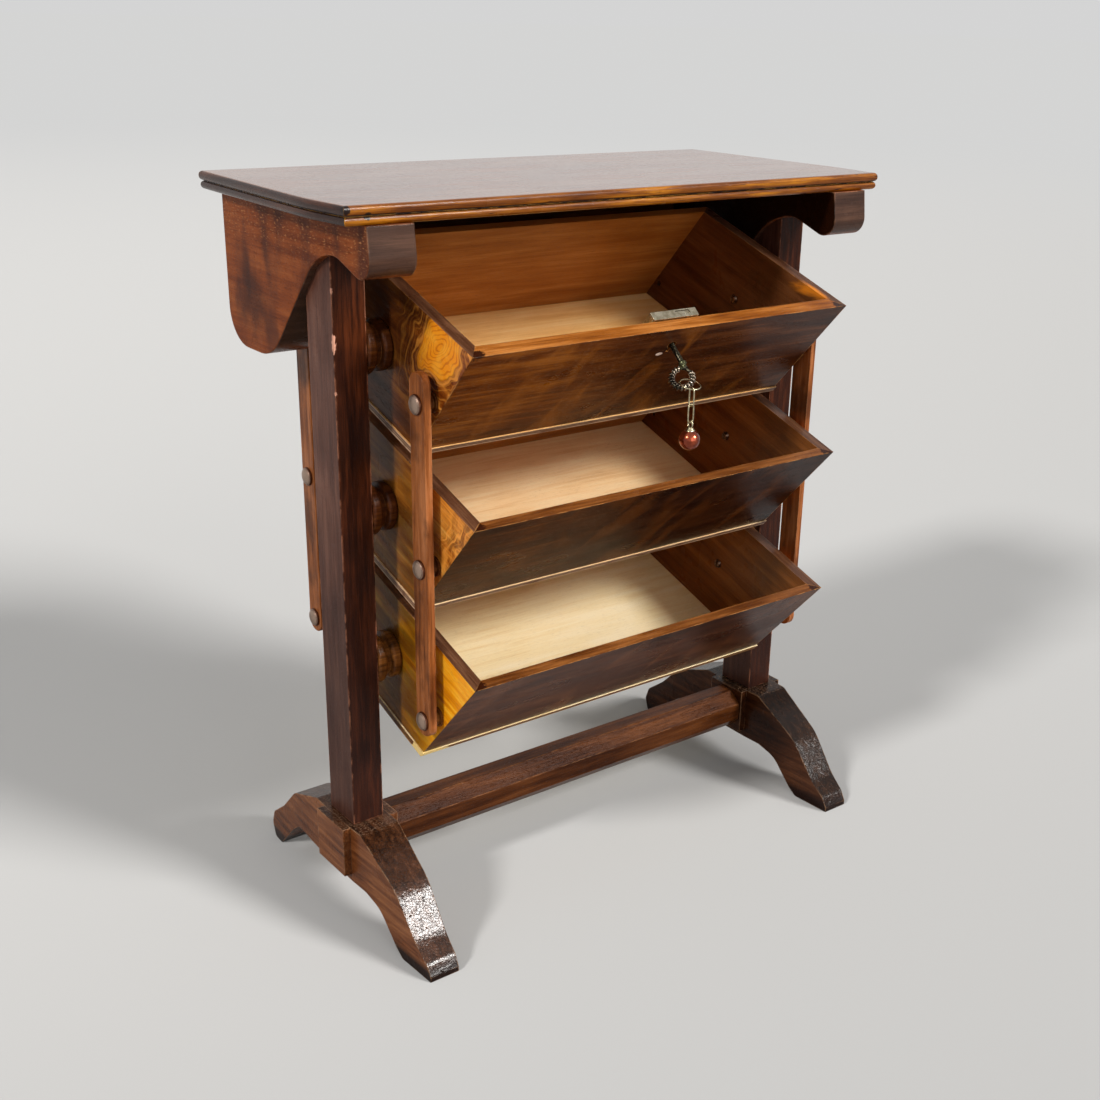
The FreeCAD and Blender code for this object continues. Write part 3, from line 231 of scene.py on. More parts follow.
class Finish(Nodes):
    """One material being mixed."""

    def __init__(self, name):
        self.material = bpy.data.materials.new(name)
        self.material.use_nodes = True
        super().__init__(self.material.node_tree)
        coordinates = self.add("ShaderNodeTexCoord").outputs
        self.place, self.outward = coordinates["Object"], coordinates["Normal"]

    def laid(self, size, start=HERE, turn=UPRIGHT):
        """Places measured from a start, turned with the grain and counted in steps of the given size."""
        inputs = {"Vector": self.place, "Location": start, "Rotation": turn, "Scale": threefold(size)}
        return self.add("ShaderNodeMapping", inputs, vector_type="TEXTURE").outputs[0]

    def noise(self, size, detail=3.0, roughness=0.55, warp=0.0, start=HERE, turn=UPRIGHT):
        """Smooth random values near one half, in clouds of the given size."""
        inputs = {
            "Vector": self.laid(size, start, turn),
            "Scale": 1.0,
            "Detail": detail,
            "Roughness": roughness,
            "Distortion": warp,
        }
        return self.add("ShaderNodeTexNoise", inputs).outputs["Fac"]

    def ramp(self, value, *stops):
        """A colour that runs through the stops, each a place from 0 to 1 and a shade."""
        node = self.add("ShaderNodeValToRGB", {"Fac": value})
        elements = node.color_ramp.elements
        while len(elements) < len(stops):
            elements.new(0.5)
        for element, (place, shade) in zip(elements, stops):
            element.position = place
            element.color = tone(*shade)
        return node.outputs["Color"]

    def mix(self, share, first, second, blend="MIX"):
        """Colours mixed by a share from 0, the first, to 1, the second."""
        inputs = {0: share, 6: first, 7: second}
        return self.add("ShaderNodeMix", inputs, data_type="RGBA", blend_type=blend).outputs[2]

    def stained(self, mask, colour, shade):
        """The colour, with a shade laid over it where the mask is one."""
        return self.mix(mask, colour, tone(*shade))

    def facing(self, direction, start=0.55, end=0.8):
        """One where the surface faces a direction of the piece, and none where it turns away."""
        return self.ease(self.dot(self.outward, direction), start, end)

    def past(self, direction, start, end):
        """One beyond a place along a direction, and none before it."""
        return self.ease(self.dot(self.place, direction), start, end)

    def band(self, direction, middle, half):
        """One within half a width of a place along a direction, fading at its borders."""
        along = self.dot(self.place, direction)
        apart = self.math("ABSOLUTE", self.math("SUBTRACT", along, middle))
        return self.ease(apart, half * 1.3, half * 0.7)

    def spot(self, place, radii, ragged=0.5, soft=0.08):
        """One inside a blot of the given radii at a place of the piece, with a ragged border."""
        far = self.length(self.laid(radii, place))
        fray = self.noise(tuple(part * 0.5 for part in radii), start=place)
        far = self.total((1.0, far), (ragged * 2, fray))
        return self.ease(far, 1 + ragged + soft, 1 + ragged - soft)

    def rounded(self, radius):
        """The surface's direction with its arrises eased by a radius."""
        return self.add("ShaderNodeBevel", {"Radius": radius}, samples=4).outputs[0]

    def arris(self, rounded):
        """One on the edges that the eased direction turns away from, and none on the flats."""
        true = self.add("ShaderNodeNewGeometry").outputs["Normal"]
        return self.ease(self.dot(rounded, true), 0.995, 0.9)

    def done(self, colour, roughness, height=None, depth=0.0004, normal=None, **fixed):
        """Ends in a surface of a colour and a roughness, raised by the height, with fixed values."""
        inputs = {"Base Color": colour, "Roughness": roughness}
        inputs.update({key.replace("_", " "): value for key, value in fixed.items()})
        if height is not None:
            raised = {"Height": height, "Strength": 1.0, "Distance": depth}
            if normal is not None:
                raised["Normal"] = normal
            normal = self.add("ShaderNodeBump", raised).outputs[0]
        if normal is not None:
            inputs.update({"Normal": normal, "Coat Normal": normal})
        shader = self.add("ShaderNodeBsdfPrincipled", inputs)
        self.add("ShaderNodeOutputMaterial", {"Surface": shader.outputs[0]})
        return self.material


class Timber:
    """Grained wood laid on a finish: its colour, and how far its fibres and pores stand."""

    def __init__(self, finish, stain, turn, start=HERE, streak=0.007, cloud=0.05, warp=0.4, pores=0.4):
        dark, middle, light = STAINS[stain]
        grain = {"start": start, "turn": turn}
        fibre = finish.noise((0.0007, 0.0007, 0.03), **grain)
        broad = finish.noise((streak, streak, streak * 16), roughness=0.6, warp=warp, **grain)
        hazy = finish.noise((cloud, cloud, cloud * 1.7), 2.0, 0.5, warp, **grain)
        pore = finish.ease(finish.noise((0.0004, 0.0004, 0.005), 1.0, **grain), 0.6, 0.72)
        figure = finish.total((0.5, broad), (0.22, fibre), (0.28, hazy))
        plain = finish.ramp(figure, (0.38, dark), (0.5, middle), (0.62, light))
        open_pore = (0.3, 0.22, 0.16, 1)
        self.colour = finish.mix(finish.both(pore, pores), plain, open_pore, "MULTIPLY")
        self.height = finish.total((0.35, fibre), (-0.5, pore))


def varnished(
    finish, colour, height, gloss=0.34, edge=0.0012, worn=(150, 88, 42), wear=0.6, coat=0.05, shine=0.1
):
    """Old shellac over timber: rubbed pale on its arrises, a little uneven in its shine."""
    eased = finish.rounded(edge)
    patch = finish.noise(0.012)
    rubbed = finish.both(finish.arris(eased), finish.ease(patch, 0.4, 0.62))
    rubbed = finish.both(rubbed, wear)
    colour = finish.stained(rubbed, colour, worn)
    dull = finish.noise((0.07, 0.03, 0.05))
    rough = finish.total((1.0, finish.ease(dull, 0.3, 0.7, gloss * 0.88, gloss * 1.15)), (0.2, rubbed))
    fixed = {"Coat_Weight": coat, "Coat_Roughness": 0.16, "Specular_IOR_Level": shine}
    return finish.done(colour, rough, height, 0.00025, eased, **fixed)


def board_finish():
    """Reddish-brown board under thick polish, its front beads gold and its ends nearly black."""
    finish = Finish("board_walnut")
    top = Timber(finish, "board_top", ACROSS, (0.3, 0.2, 0), streak=0.006, cloud=0.12)
    gold = Timber(finish, "board_front", ACROSS, (0.1, 0, 0.3), streak=0.004)
    ends = Timber(finish, "board_ends", FORE_AND_AFT, (0, 0.1, 0))
    specks = finish.ease(finish.noise(0.0022, 1.0), 0.79, 0.82)
    colour = finish.stained(specks, top.colour, (190, 164, 144))
    for end in (LEFT, RIGHT):
        colour = finish.mix(finish.facing(end, 0.3, 0.6), colour, ends.colour)
    front = finish.facing(FORWARD, 0.3, 0.7)
    colour = finish.mix(front, colour, gold.colour)
    knocks = finish.ease(finish.noise((0.02, 0.004, 0.0022), 2.0), 0.66, 0.72)
    colour = finish.stained(finish.both(knocks, front), colour, (54, 28, 12))
    # Painted shade in the groove between the two beads.
    colour = finish.stained(finish.band(UP, BEAD_GROOVE, 0.0009), colour, (38, 20, 10))
    for place, radii in BOARD_DENTS:
        colour = finish.stained(finish.spot(place, radii), colour, (30, 16, 10))
    coat = finish.ease(finish.facing(UP, 0.85, 0.98), 0.0, 1.0, 0.12, 1.0)
    height = finish.total((0.25, top.height))
    return varnished(finish, colour, height, 0.26, 0.001, (222, 156, 58), 0.8, coat, 0.2)


def apron_finish(side, inward):
    """Warm brown scrolls with darker clouds, painted highlight flecks under the board, dark in front, and in
    painted shade inside.
    """
    finish = Finish("apron_" + side)
    face = Timber(finish, "apron", FORE_AND_AFT, (0.1, 0.3, 0.2), streak=0.012, cloud=0.035, warp=0.8)
    cloud = finish.noise((0.05, 0.03, 0.08), 2.0, start=(0, 0.05, 0))
    colour = finish.stained(finish.ease(cloud, 0.44, 0.68, high=0.75), face.colour, (66, 36, 27))
    # A painted shadow on the outer face, low and towards the back.
    shadow = finish.spot(*APRON_SHADOW, ragged=0.7, soft=0.7)
    colour = finish.stained(finish.both(shadow, 0.7), colour, (52, 30, 24))
    # Painted highlights: light flecks near the top, under the board.
    highlight_flecks = finish.ease(finish.noise((0.003, 0.004, 0.0012), 2.0), 0.56, 0.72)
    highlight_flecks = finish.both(highlight_flecks, finish.past(UP, 0.535, 0.578))
    colour = finish.stained(finish.both(highlight_flecks, 0.6), colour, (196, 134, 84))
    nose = Timber(finish, "apron_nose", ACROSS, streak=0.008)
    colour = finish.mix(finish.facing(FORWARD, 0.4, 0.75), colour, nose.colour)
    # Painted shade: the inner faces, which face the other apron, are darkened.
    colour = finish.stained(finish.facing(inward), colour, (36, 20, 12))
    coat = finish.ease(finish.facing(FORWARD, 0.3, 0.7), 0.0, 1.0, high=0.4)
    return varnished(finish, colour, face.height, 0.28, 0.0016, (178, 122, 88), 0.6, coat, 0.04)


def post_finish():
    """Dark streaky uprights, the left faces lighter and greyer as a painted sheen, the front arris chipped
    to the bare wood.
    """
    finish = Finish("post_walnut")
    dark = Timber(finish, "post", UPRIGHT, streak=0.004, cloud=0.03)
    # Painted sheen: the left faces take a lighter, greyer copy of the stain.
    left_sheen = Timber(finish, "post_left_sheen", UPRIGHT, (0, 0, 0.4), streak=0.006, cloud=0.03)
    colour = finish.mix(finish.facing(LEFT), dark.colour, left_sheen.colour)
    lower = finish.past(DOWN, -0.42, -0.2)
    colour = finish.stained(finish.both(lower, 0.5), colour, (44, 29, 26))
    for place, radii in POST_CHIPS:
        colour = finish.stained(finish.spot(place, radii, ragged=0.9), colour, (206, 150, 126))
    return varnished(finish, colour, dark.height, 0.36, 0.002, (176, 116, 88), 0.9)


def foot_finish(side):
    """Heavy dark feet with dust on their crowns and thick crazed varnish on the front legs' slopes, darker
    along the ground and on the right foot as painted shade.
    """
    finish = Finish("foot_" + side)
    body = Timber(finish, "foot_" + side, FORE_AND_AFT, streak=0.006)
    above = Timber(finish, "foot_" + side + "_slope", FORE_AND_AFT, (0, 0.2, 0), streak=0.005)
    colour = finish.mix(finish.facing(UP, 0.3, 0.6), body.colour, above.colour)
    crown = finish.facing(UP, 0.9, 0.97)
    dust = finish.both(finish.ease(finish.noise(0.0014), 0.52, 0.66), crown)
    colour = finish.stained(finish.both(dust, 0.55), colour, (134, 106, 86))
    # Painted shade along the ground: the lowest part of each foot is darker.
    ground_shade = finish.past(DOWN, -0.016, -0.006)
    colour = finish.stained(ground_shade, colour, (34, 20, 15))
    cells = {"Vector": finish.laid(0.011), "Randomness": 1.0}
    crack = finish.add("ShaderNodeTexVoronoi", cells, feature="DISTANCE_TO_EDGE").outputs["Distance"]
    crazed = finish.both(finish.ease(crack, 0.05, 0.0), finish.facing(FORWARD, 0.3, 0.5))
    colour = finish.stained(finish.both(crazed, 0.7), colour, (30, 18, 12))
    ripple = finish.noise(0.006, 4.0, 0.6, 1.0)
    height = finish.total((0.3, body.height), (-3.0, crazed), (1.5, ripple))
    sloping = finish.total((1.0, finish.facing(UP, 0.35, 0.6)), (-1.0, crown))
    leg = finish.both(sloping, finish.past(FORWARD, 0.045, 0.07))
    coat = finish.total((LEG_COATS[side], leg), (0.05, 1.0))
    return varnished(finish, colour, height, 0.26, 0.0016, (176, 134, 100), 0.8, coat)


def rail_finish():
    """Rails streaked along their length."""
    finish = Finish("rail_walnut")
    body = Timber(finish, "rail", ACROSS, streak=0.006)
    return varnished(finish, body.colour, body.height, 0.34, 0.0014, (150, 100, 62), 0.7, 0.0)


def bar_finish():
    """The thin link bars, lighter and redder than the posts, smoked in clouds."""
    finish = Finish("bar_walnut")
    body = Timber(finish, "bar", UPRIGHT, (0, 0.2, 0), streak=0.004)
    blotches = finish.noise((0.03, 0.03, 0.05), start=(0, 0, 0.02))
    colour = finish.stained(finish.ease(blotches, 0.48, 0.66, high=0.65), body.colour, (60, 34, 22))
    return varnished(finish, colour, body.height, 0.34, 0.0009, (190, 136, 96), 0.7, 0.1)


def boss_finish(level):
    """Turned wood, browner than the trays, ringed by the lathe, darker on the top and middle trays as
    painted shade.
    """
    finish = Finish("boss_beech_" + level)
    body = Timber(finish, "boss_" + level, ACROSS, (0.4, 0, 0), streak=0.005)
    rings = finish.noise((0.0009, 1.0, 1.0), 1.0)
    height = finish.total((0.5, body.height), (0.6, rings))
    return varnished(finish, body.colour, height, 0.3, 0.0006, (168, 112, 58), 0.6)


def front_finish(level, shift):
    """A tray's front: brown to the left, redder to the right, curled across its grain, its rim orange."""
    finish = Finish("tray_front_" + level)
    brown, red = "front_" + level + "_brown", "front_" + level + "_red"
    left = Timber(finish, brown, ACROSS, (shift, 0, 0), streak=0.008, cloud=0.04, warp=0.8)
    right = Timber(finish, red, ACROSS, (shift + 0.2, 0, 0), streak=0.008, warp=0.5)
    colour = finish.mix(finish.past(RIGHT, -0.12, 0.01), left.colour, right.colour)
    lean = (FRONT_TURN, 0.0, math.radians(24))
    curl = finish.noise((0.035, 0.09, 0.09), 3.0, 0.5, 0.9, start=(shift, 0, 0), turn=lean)
    colour = finish.stained(finish.ease(curl, 0.5, 0.7, high=0.6), colour, STAINS[brown][2])
    inner = Timber(finish, "front_inside", ACROSS, (0, shift, 0), streak=0.008)
    colour = finish.mix(finish.facing(FRONT_OUT), inner.colour, colour)
    rim_stain = "front_rim_bright" if level == "top" else "front_rim"
    rim = Timber(finish, rim_stain, ACROSS, (0, 0, shift), streak=0.004)
    colour = finish.mix(finish.facing(TRAY_UP), colour, rim.colour)
    for aside in (-MITRE_ASIDE, MITRE_ASIDE):
        mitre = finish.spot((aside, MITRE_LINE, PIVOTS[level][2] + MITRE_RISE), MITRE_RADII, ragged=0.8)
        colour = finish.stained(mitre, colour, (52, 26, 14))
    coat = 0.0
    if level == "top":
        colour = finish.stained(finish.spot(*KEYHOLE_CHIP, ragged=0.3), colour, (236, 206, 186))
        coat = 0.1
    return varnished(finish, colour, left.height, 0.3, 0.0009, (214, 150, 84), 0.8, coat)


def burl(finish, colour, middle, heart):
    """Flamed figure on a side: dark wood with pale veins that bend round a knot, and its golden heart."""
    wander = finish.noise((0.05, 0.036, 0.036), 2.0, 0.5, 0.4, start=middle)
    lean = (math.radians(-35), 0.0, 0.0)
    oval = finish.length(finish.laid((0.1, 0.026, 0.02), middle, lean))
    bent = finish.total((1.0, oval), (1.6, wander), (-0.8, 1.0))
    wave = finish.math("SINE", finish.total((11.0, bent), (12.0, wander)))
    fine = finish.math("SINE", finish.total((34.0, bent), (10.0, wander)))
    veins = finish.total((0.75, finish.ease(wave, 0.55, 1.0)), (0.35, finish.ease(fine, 0.5, 1.0)))
    near = finish.ease(oval, 3.4, 1.8)
    grime = finish.noise((0.02, 0.012, 0.012), start=middle)
    base = finish.stained(finish.ease(grime, 0.36, 0.62, high=0.7), colour, (84, 34, 12))
    flame = finish.stained(finish.both(veins, 0.9), base, (234, 150, 62))
    colour = finish.mix(near, colour, flame)
    inside = finish.both(finish.ease(bent, 1.2, 1.08), heart)
    rings = finish.ease(fine, 0.2, 1.0, high=0.75)
    gold = finish.stained(rings, tone(234, 140, 26), (196, 98, 20))
    gold = finish.stained(finish.ease(grime, 0.4, 0.66, high=0.5), gold, (244, 170, 56))
    return finish.mix(inside, colour, gold)


def side_finish(side, level, outward, shift):
    """A tray's side: golden outside, with painted shade of the post towards the back, brown within and
    darker within the top tray as painted shade, its rim dark and rubbed.
    """
    finish = Finish("tray_" + side + "_" + level)
    outer = Timber(finish, "side_" + level, ALONG_TRAY, (0, shift, 0), streak=0.012, cloud=0.04, warp=1.6)
    colour = outer.colour
    if side == "left" and level in KNOTS:
        colour = burl(finish, colour, *KNOTS[level])
    # Painted shadow of the post: the outer face darkens towards the back, with a cloudy border.
    blotches = finish.noise((0.02, 0.02, 0.09), start=(0, shift, 0), turn=ALONG_TRAY)
    blotches = finish.ease(blotches, 0.3, 0.55, 0.55, 0.85)
    post_shade = finish.both(finish.past(BACKWARD, -0.08, -0.035), blotches)
    colour = finish.stained(post_shade, colour, (44, 25, 17))
    # Painted shade: the top tray's inner faces take a darker copy of the stain.
    inner_stain = "side_inside_shaded" if level == "top" else "side_inside"
    inner = Timber(finish, inner_stain, ALONG_TRAY, (shift, 0, 0), streak=0.008)
    colour = finish.mix(finish.facing(outward), inner.colour, colour)
    rim = Timber(finish, "side_rim", ALONG_TRAY, (0, 0, shift), streak=0.004)
    colour = finish.mix(finish.facing(TRAY_UP), colour, rim.colour)
    if (side, level) == ("right", "top"):
        # A painted patch of light on the inner face, near the front by the rim.
        light_patch = finish.spot(*ORANGE_LIGHT_PATCH, soft=0.5)
        colour = finish.stained(finish.both(light_patch, 0.8), colour, (226, 132, 34))
    coat = finish.ease(post_shade, 0.2, 0.8, 0.2, 0.07)
    return varnished(finish, colour, outer.height, 0.3, 0.0009, (196, 136, 76), 0.8, coat)


def back_finish(level, shift):
    """A tray's back: orange-brown within, dark outside."""
    finish = Finish("tray_back_" + level)
    inner = Timber(finish, "back_inside", ACROSS, (shift, 0, 0), streak=0.009)
    outer = Timber(finish, "back_outside", ACROSS, (0, shift, 0), streak=0.009, cloud=0.06)
    colour = finish.mix(finish.facing(FORWARD, 0.2, 0.4), outer.colour, inner.colour)
    return varnished(finish, colour, inner.height, 0.36, 0.0009)


def floor_finish(level, shift):
    """Pale birch ply, darker on the upper trays as painted shade, its edge in five thin layers, light and
    dark by turns.
    """
    finish = Finish("birch_ply_" + level)
    face = Timber(finish, "ply_" + level, ACROSS, (shift, 0, 0), 0.01, cloud=0.06, warp=0.8, pores=0.2)
    underside = Vector(PIVOTS[level]).dot(Vector(TRAY_UP)) - FLOOR_UNDERSIDE
    depth = finish.past(TRAY_UP, underside, underside + FLOOR_THICKNESS)
    light, dark = PLY_LAYERS[level]
    heights = (0.08, 0.24, 0.36, 0.5, 0.64, 0.8, 0.92)
    shades = (light, dark, dark, light, dark, dark, light)
    layers = finish.ramp(depth, *zip(heights, shades))
    patch = finish.noise((0.03, 0.01, 0.01), 2.0)
    layers = finish.stained(finish.ease(patch, 0.5, 0.7, high=0.8), layers, (96, 50, 28))
    flat = finish.math("MAXIMUM", finish.facing(TRAY_UP), finish.facing(TRAY_DOWN))
    colour = finish.mix(flat, layers, face.colour)
    if level == "bottom":
        colour = finish.stained(finish.spot(*SPLIT_PLY, ragged=0.6), colour, (238, 204, 132))
    return finish.done(colour, 0.5, face.height, 0.0002, finish.rounded(0.0005), Specular_IOR_Level=0.3)


def metal_finish(name, light, dark, rough, grain=0.0015):
    """Aged metal: a light polish worn through a dark skin in spots."""
    finish = Finish(name)
    spots = finish.noise(grain, 4.0, 0.65)
    fine = finish.noise(grain / 6, 2.0)
    colour = finish.ramp(spots, (0.38, dark), (0.6, light))
    dull = finish.ease(spots, 0.3, 0.7, rough * 1.35, rough * 0.8)
    return finish.done(colour, dull, fine, 0.00006, finish.rounded(0.0003), Metallic=1.0)


def dome_finish():
    """Domed screw heads: silver-grey on the crown, rusty brown at the rim."""
    finish = Finish("dome_screw")
    crown = finish.math("MAXIMUM", finish.facing(LEFT, 0.6, 0.95), finish.facing(RIGHT, 0.6, 0.95))
    pitted = finish.noise(0.0012, 4.0, 0.65)
    crown = finish.total((1.0, crown), (0.8, pitted), (-0.4, 1.0))
    colour = finish.stained(finish.ease(crown, 0.2, 0.9), tone(92, 56, 40), (160, 136, 120))
    return finish.done(colour, 0.36, pitted, 0.0001, Metallic=0.85)


def key_finish():
    """Blackened iron, rubbed bright where it is handled, with a greenish brass collar by the ring."""
    finish = Finish("key_iron")
    worn = finish.noise(0.0012, 4.0, 0.65)
    colour = finish.ramp(worn, (0.44, (26, 23, 20)), (0.66, (104, 98, 80)))
    collar = finish.band(FRONT_OUT, KEY_JOINT.dot(Vector(FRONT_OUT)) + COLLAR_OUT, COLLAR_HALF)
    colour = finish.stained(finish.both(collar, 0.7), colour, (88, 90, 64))
    return finish.done(colour, 0.34, worn, 0.0001, finish.rounded(0.0003), Metallic=0.9)


def wire_finish():
    """Binding wire, bright on the ring's right half and darker on its left as painted shade."""
    finish = Finish("binding_wire")
    worn = finish.noise(0.001)
    bright = finish.ramp(worn, (0.38, (92, 82, 72)), (0.6, (206, 190, 172)))
    # Painted shade: the left half of the ring is darker.
    colour = finish.mix(finish.past(RIGHT, -0.006, 0.0), tone(58, 52, 46), bright)
    return finish.done(colour, 0.26, worn, 0.00005, Metallic=0.95)


def bead_finish():
    """A polished copper bead, darker where it has tarnished."""
    finish = Finish("copper_bead")
    colour = finish.ramp(finish.noise(0.006), (0.35, (104, 40, 22)), (0.65, (172, 80, 50)))
    fine = finish.noise(0.0009, 2.0)
    fixed = {"Metallic": 0.85, "Coat_Weight": 0.4, "Coat_Roughness": 0.08}
    return finish.done(colour, 0.2, fine, 0.00003, **fixed)


def stand_finishes():
    """The finishes of the board, rails, aprons, posts, feet, pivot screws and link bars, by node."""
    rail, post, bar = rail_finish(), post_finish(), bar_finish()
    screw = metal_finish("screw_iron", (130, 104, 88), (60, 44, 38), 0.38)
    found = {"top_board": board_finish(), "stretcher": rail, "back_rail": rail}
    for side, inward in (("left", RIGHT), ("right", LEFT)):
        found["apron_" + side] = apron_finish(side, inward)
        found["post_" + side] = post
        found["foot_" + side] = found["foot_cheeks_" + side] = foot_finish(side)
        found["pivot_screws_" + side] = screw
        found["link_front_" + side] = found["link_back_" + side] = bar
    return found


def tray_finishes():
    """The finishes of the three trays, by node."""
    found = {}
    dome = dome_finish()
    for number, level in enumerate(LEVELS, start=1):
        tray, shift = "tray_" + level, GRAIN_STEP * number
        found[tray + "_front"] = front_finish(level, shift)
        found[tray + "_back"] = back_finish(level, shift)
        found[tray + "_floor"] = floor_finish(level, shift)
        found[tray + "_side_left"] = side_finish("left", level, LEFT, shift)
        found[tray + "_side_right"] = side_finish("right", level, RIGHT, shift + RIGHT_SIDE_STEP)
        found[tray + "_bosses"] = found[tray + "_link_spacers"] = boss_finish(level)
        found[tray + "_link_screws"] = dome
    return found


def lock_finishes():
    """The finishes of the lock, the key and what hangs on it, by node."""
    key = key_finish()
    steel = metal_finish("lock_steel", (184, 174, 152), (132, 122, 102), 0.3, 0.006)
    silver = metal_finish("chain_silver", (222, 210, 176), (130, 120, 92), 0.22, 0.0008)
    found = {"key": key, "key_winding": key, "charm_ball": bead_finish()}
    for node in ("lock_case", "lock_plate", "lock_bolt"):
        found[node] = steel
    for node in ("key_loop", "chain_link_upper", "chain_link_lower", "charm_cap"):
        found[node] = silver
    return found


for finishes in (stand_finishes, tray_finishes, lock_finishes):
    for node, material in finishes().items():
        bpy.data.objects[node].material_slots[0].material = material


def tube_surface(name, rings, material):
    """A closed tube through rings, an array of steps by points round by three; its ends are points."""
    steps, around = rings.shape[:2]
    row = np.arange(steps - 1)[:, None] * around
    here = np.arange(around)[None, :]
    beside = (here + 1) % around
    faces = np.stack([row + here, row + beside, row + around + beside, row + around + here], axis=-1)
    mesh = bpy.data.meshes.new(name)
    mesh.from_pydata(rings.reshape(-1, 3).tolist(), [], faces.reshape(-1, 4).tolist())
    shell = bmesh.new()
    shell.from_mesh(mesh)
    bmesh.ops.remove_doubles(shell, verts=shell.verts, dist=1e-7)
    shell.to_mesh(mesh)
    shell.free()
    mesh.polygons.foreach_set("use_smooth", np.ones(len(mesh.polygons), dtype=bool))
    mesh.materials.append(material)
    made = bpy.data.objects.new(name, mesh)
    bpy.context.scene.collection.objects.link(made)
    return made


def binding_wire(turns=16, coil=0.002, wire=0.0008, bare=66.0, steps=18, around=8, blunt=60):
    """Wire wound round the key's ring, but for the stretch where the shank joins it.

    At angle a of the ring and angle p = turns times 2 pi t of the coil, the wire's middle is
    (ring + coil cos p) along the ring's radius and coil sin p off its plane. A circle of the wire's
    radius, square to that path, sweeps it; the radius closes at both ends as the root of
    1 - |2t - 1| to the power of blunt. A turn of the coil has steps rings of around points each.
    """
    shank = math.acos(RING_ASIDE / RING_RADIUS)
    t = np.linspace(0.0, 1.0, turns * steps + 1)[:, None]
    a = shank + math.radians(bare / 2) + t * math.radians(360 - bare)
    p = t * turns * 2 * math.pi
    radial = np.concatenate([np.cos(a), np.sin(a), 0 * a], axis=1)
    normal = np.array([[0.0, 0.0, 1.0]])
    outward = radial * np.cos(p) + normal * np.sin(p)
    path = radial * RING_RADIUS + outward * coil
    along = np.gradient(path, axis=0)
    along /= np.linalg.norm(along, axis=1, keepdims=True)
    across = np.cross(along, outward)
    across /= np.linalg.norm(across, axis=1, keepdims=True)
    lift = np.cross(across, along)
    thick = wire * np.sqrt(1 - np.abs(2 * t - 1) ** blunt)
    v = np.linspace(0.0, 2 * math.pi, around, endpoint=False)[None, :, None]
    circle = np.cos(v) * lift[:, None, :] + np.sin(v) * across[:, None, :]
    rings = path[:, None, :] + thick[:, :, None] * circle
    turned = Matrix.Rotation(FRONT_TURN, 3, "X") @ Matrix.Rotation(RING_ROLL, 3, "Y")
    middle = KEY_JOINT + RING_OUT * Vector(FRONT_OUT) + turned @ Vector((-RING_ASIDE, 0, 0))
    made = tube_surface("ring_binding", rings @ np.array(turned).T + np.array(middle), wire_finish())
    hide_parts("key_winding")
    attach(made, "key_body")


binding_wire()

# The room's strength as a light and as it is seen; the floor's paint, its glow far off, where the
# glow starts and where it is full, and the floor's reach.
ROOM_LIGHT, ROOM_SEEN = 0.38, 0.66
FLOOR_PAINT = (0.47, 0.47, 0.468, 1)
FLOOR_GLOW = (0.66, 0.66, 0.655, 1)
GLOW_STARTS, GLOW_FULL = 2.0, 9.0
FLOOR_REACH = 60.0

# Each lamp's azimuth and elevation in degrees, strength, width in degrees, and colour. Azimuth 0 is
# in front and 90 is on the right.
LAMPS = {
    "left_lamp": (-78, 36, 1.8, 9, (1.0, 0.98, 0.95)),
    "front_lamp": (30, 32, 3.0, 16, (1.0, 0.98, 0.95)),
    "low_lamp": (4, 12, 1.0, 50, (1.0, 0.97, 0.92)),
}

# The camera's place and turns, and its lens in pixels of a square frame: how far the frame lies in
# front of the lens, and where its optical middle falls, from the left and from the top.
CAMERA_PLACE = (-0.73326, -0.95981, 0.72549)
CAMERA_YAW = math.radians(38.97)
CAMERA_PITCH = math.radians(-21.79)
CAMERA_ROLL = math.radians(1.72)
FRAME_PIXELS = 1100
LENS_PIXELS = 1440.49
MIDDLE_FROM_LEFT, MIDDLE_FROM_TOP = 609.37, 586.2
SENSOR_WIDTH = 36.0


def pale_floor():
    """A wide pale floor that glows far off, so that it meets the room without an edge."""
    finish = Finish("pale_floor")
    matt = finish.add("ShaderNodeBsdfDiffuse", {"Color": FLOOR_PAINT, "Roughness": 0.5})
    glow = finish.add("ShaderNodeEmission", {"Color": FLOOR_GLOW, "Strength": 1.0})
    far = finish.ease(finish.length(finish.place), GLOW_STARTS, GLOW_FULL)
    blend = finish.add("ShaderNodeMixShader", {0: far, 1: matt.outputs[0], 2: glow.outputs[0]})
    finish.add("ShaderNodeOutputMaterial", {"Surface": blend.outputs[0]})
    corners = [(x * FLOOR_REACH, y * FLOOR_REACH, 0) for x, y in ((-1, -1), (1, -1), (1, 1), (-1, 1))]
    mesh = bpy.data.meshes.new("floor")
    mesh.from_pydata(corners, [], [(0, 1, 2, 3)])
    mesh.materials.append(finish.material)
    floor = bpy.data.objects.new("floor", mesh)
    bpy.context.scene.collection.objects.link(floor)


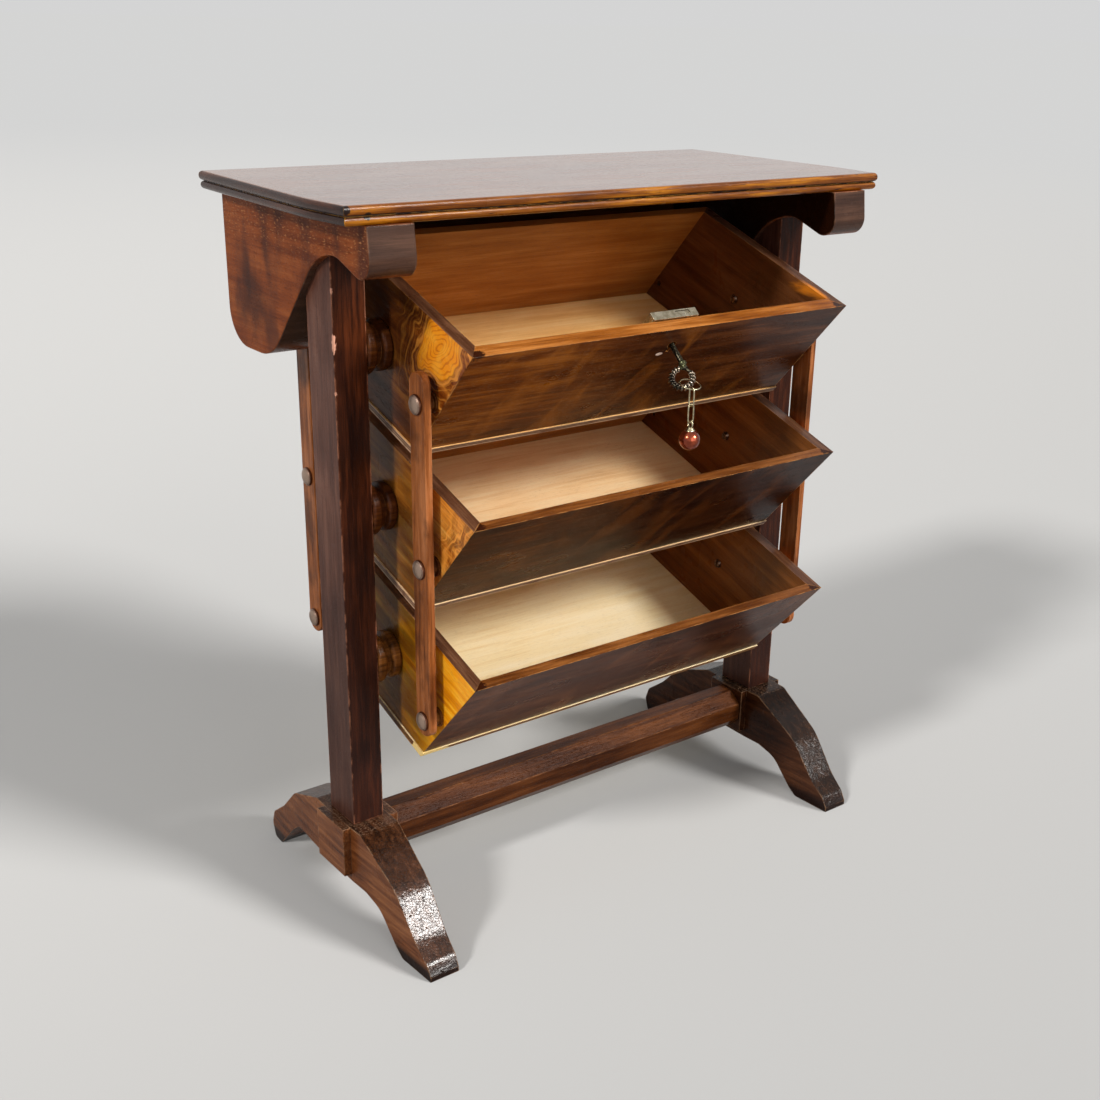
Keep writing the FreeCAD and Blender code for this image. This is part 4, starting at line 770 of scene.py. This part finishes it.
def white_room():
    """A white room, brighter where it is seen, directly, reflected or through glass, than as a light."""
    world = bpy.data.worlds.new("room")
    bpy.context.scene.world = world
    world.use_nodes = True
    nodes = Nodes(world.node_tree)
    ray = nodes.add("ShaderNodeLightPath").outputs
    seen = nodes.math("MAXIMUM", ray["Is Camera Ray"], ray["Is Glossy Ray"])
    seen = nodes.math("MAXIMUM", seen, ray["Is Transmission Ray"])
    inputs = {"Value": seen, "To Min": ROOM_LIGHT, "To Max": ROOM_SEEN}
    strength = nodes.add("ShaderNodeMapRange", inputs).outputs[0]
    light = nodes.add("ShaderNodeBackground", {"Color": (1, 1, 1, 1), "Strength": strength})
    nodes.add("ShaderNodeOutputWorld", {"Surface": light.outputs[0]})


def lamp(name, azimuth, elevation, strength, width, colour):
    """A distant soft lamp."""
    data = bpy.data.lights.new(name, "SUN")
    data.energy = strength
    data.angle = math.radians(width)
    data.color = colour
    around, above = math.radians(azimuth), math.radians(elevation)
    away = Vector((math.sin(around) * math.cos(above), -math.cos(around) * math.cos(above), math.sin(above)))
    made = bpy.data.objects.new(name, data)
    made.rotation_mode = "QUATERNION"
    made.rotation_quaternion = away.to_track_quat("Z", "Y")
    bpy.context.scene.collection.objects.link(made)


def camera():
    """A camera to the left of the front, above the board, rolled a little."""
    yaw, pitch, roll = CAMERA_YAW, CAMERA_PITCH, CAMERA_ROLL
    ahead = Vector((math.sin(yaw) * math.cos(pitch), math.cos(yaw) * math.cos(pitch), math.sin(pitch)))
    level = Vector((math.cos(yaw), -math.sin(yaw), 0))
    upward = level.cross(ahead)
    right = level * math.cos(roll) + upward * math.sin(roll)
    top = -level * math.sin(roll) + upward * math.cos(roll)
    data = bpy.data.cameras.new("camera")
    data.sensor_width = SENSOR_WIDTH
    data.lens = LENS_PIXELS / FRAME_PIXELS * SENSOR_WIDTH
    data.shift_x = (FRAME_PIXELS / 2 - MIDDLE_FROM_LEFT) / FRAME_PIXELS
    data.shift_y = (MIDDLE_FROM_TOP - FRAME_PIXELS / 2) / FRAME_PIXELS
    data.clip_start = 0.05
    data.clip_end = 200
    made = bpy.data.objects.new("camera", data)
    turn = Matrix((right, top, -ahead)).transposed().to_4x4()
    made.matrix_world = Matrix.Translation(CAMERA_PLACE) @ turn
    bpy.context.scene.collection.objects.link(made)
    bpy.context.scene.camera = made


pale_floor()
white_room()
for name, settings in LAMPS.items():
    lamp(name, *settings)
camera()
bpy.context.scene.view_settings.view_transform = "Standard"
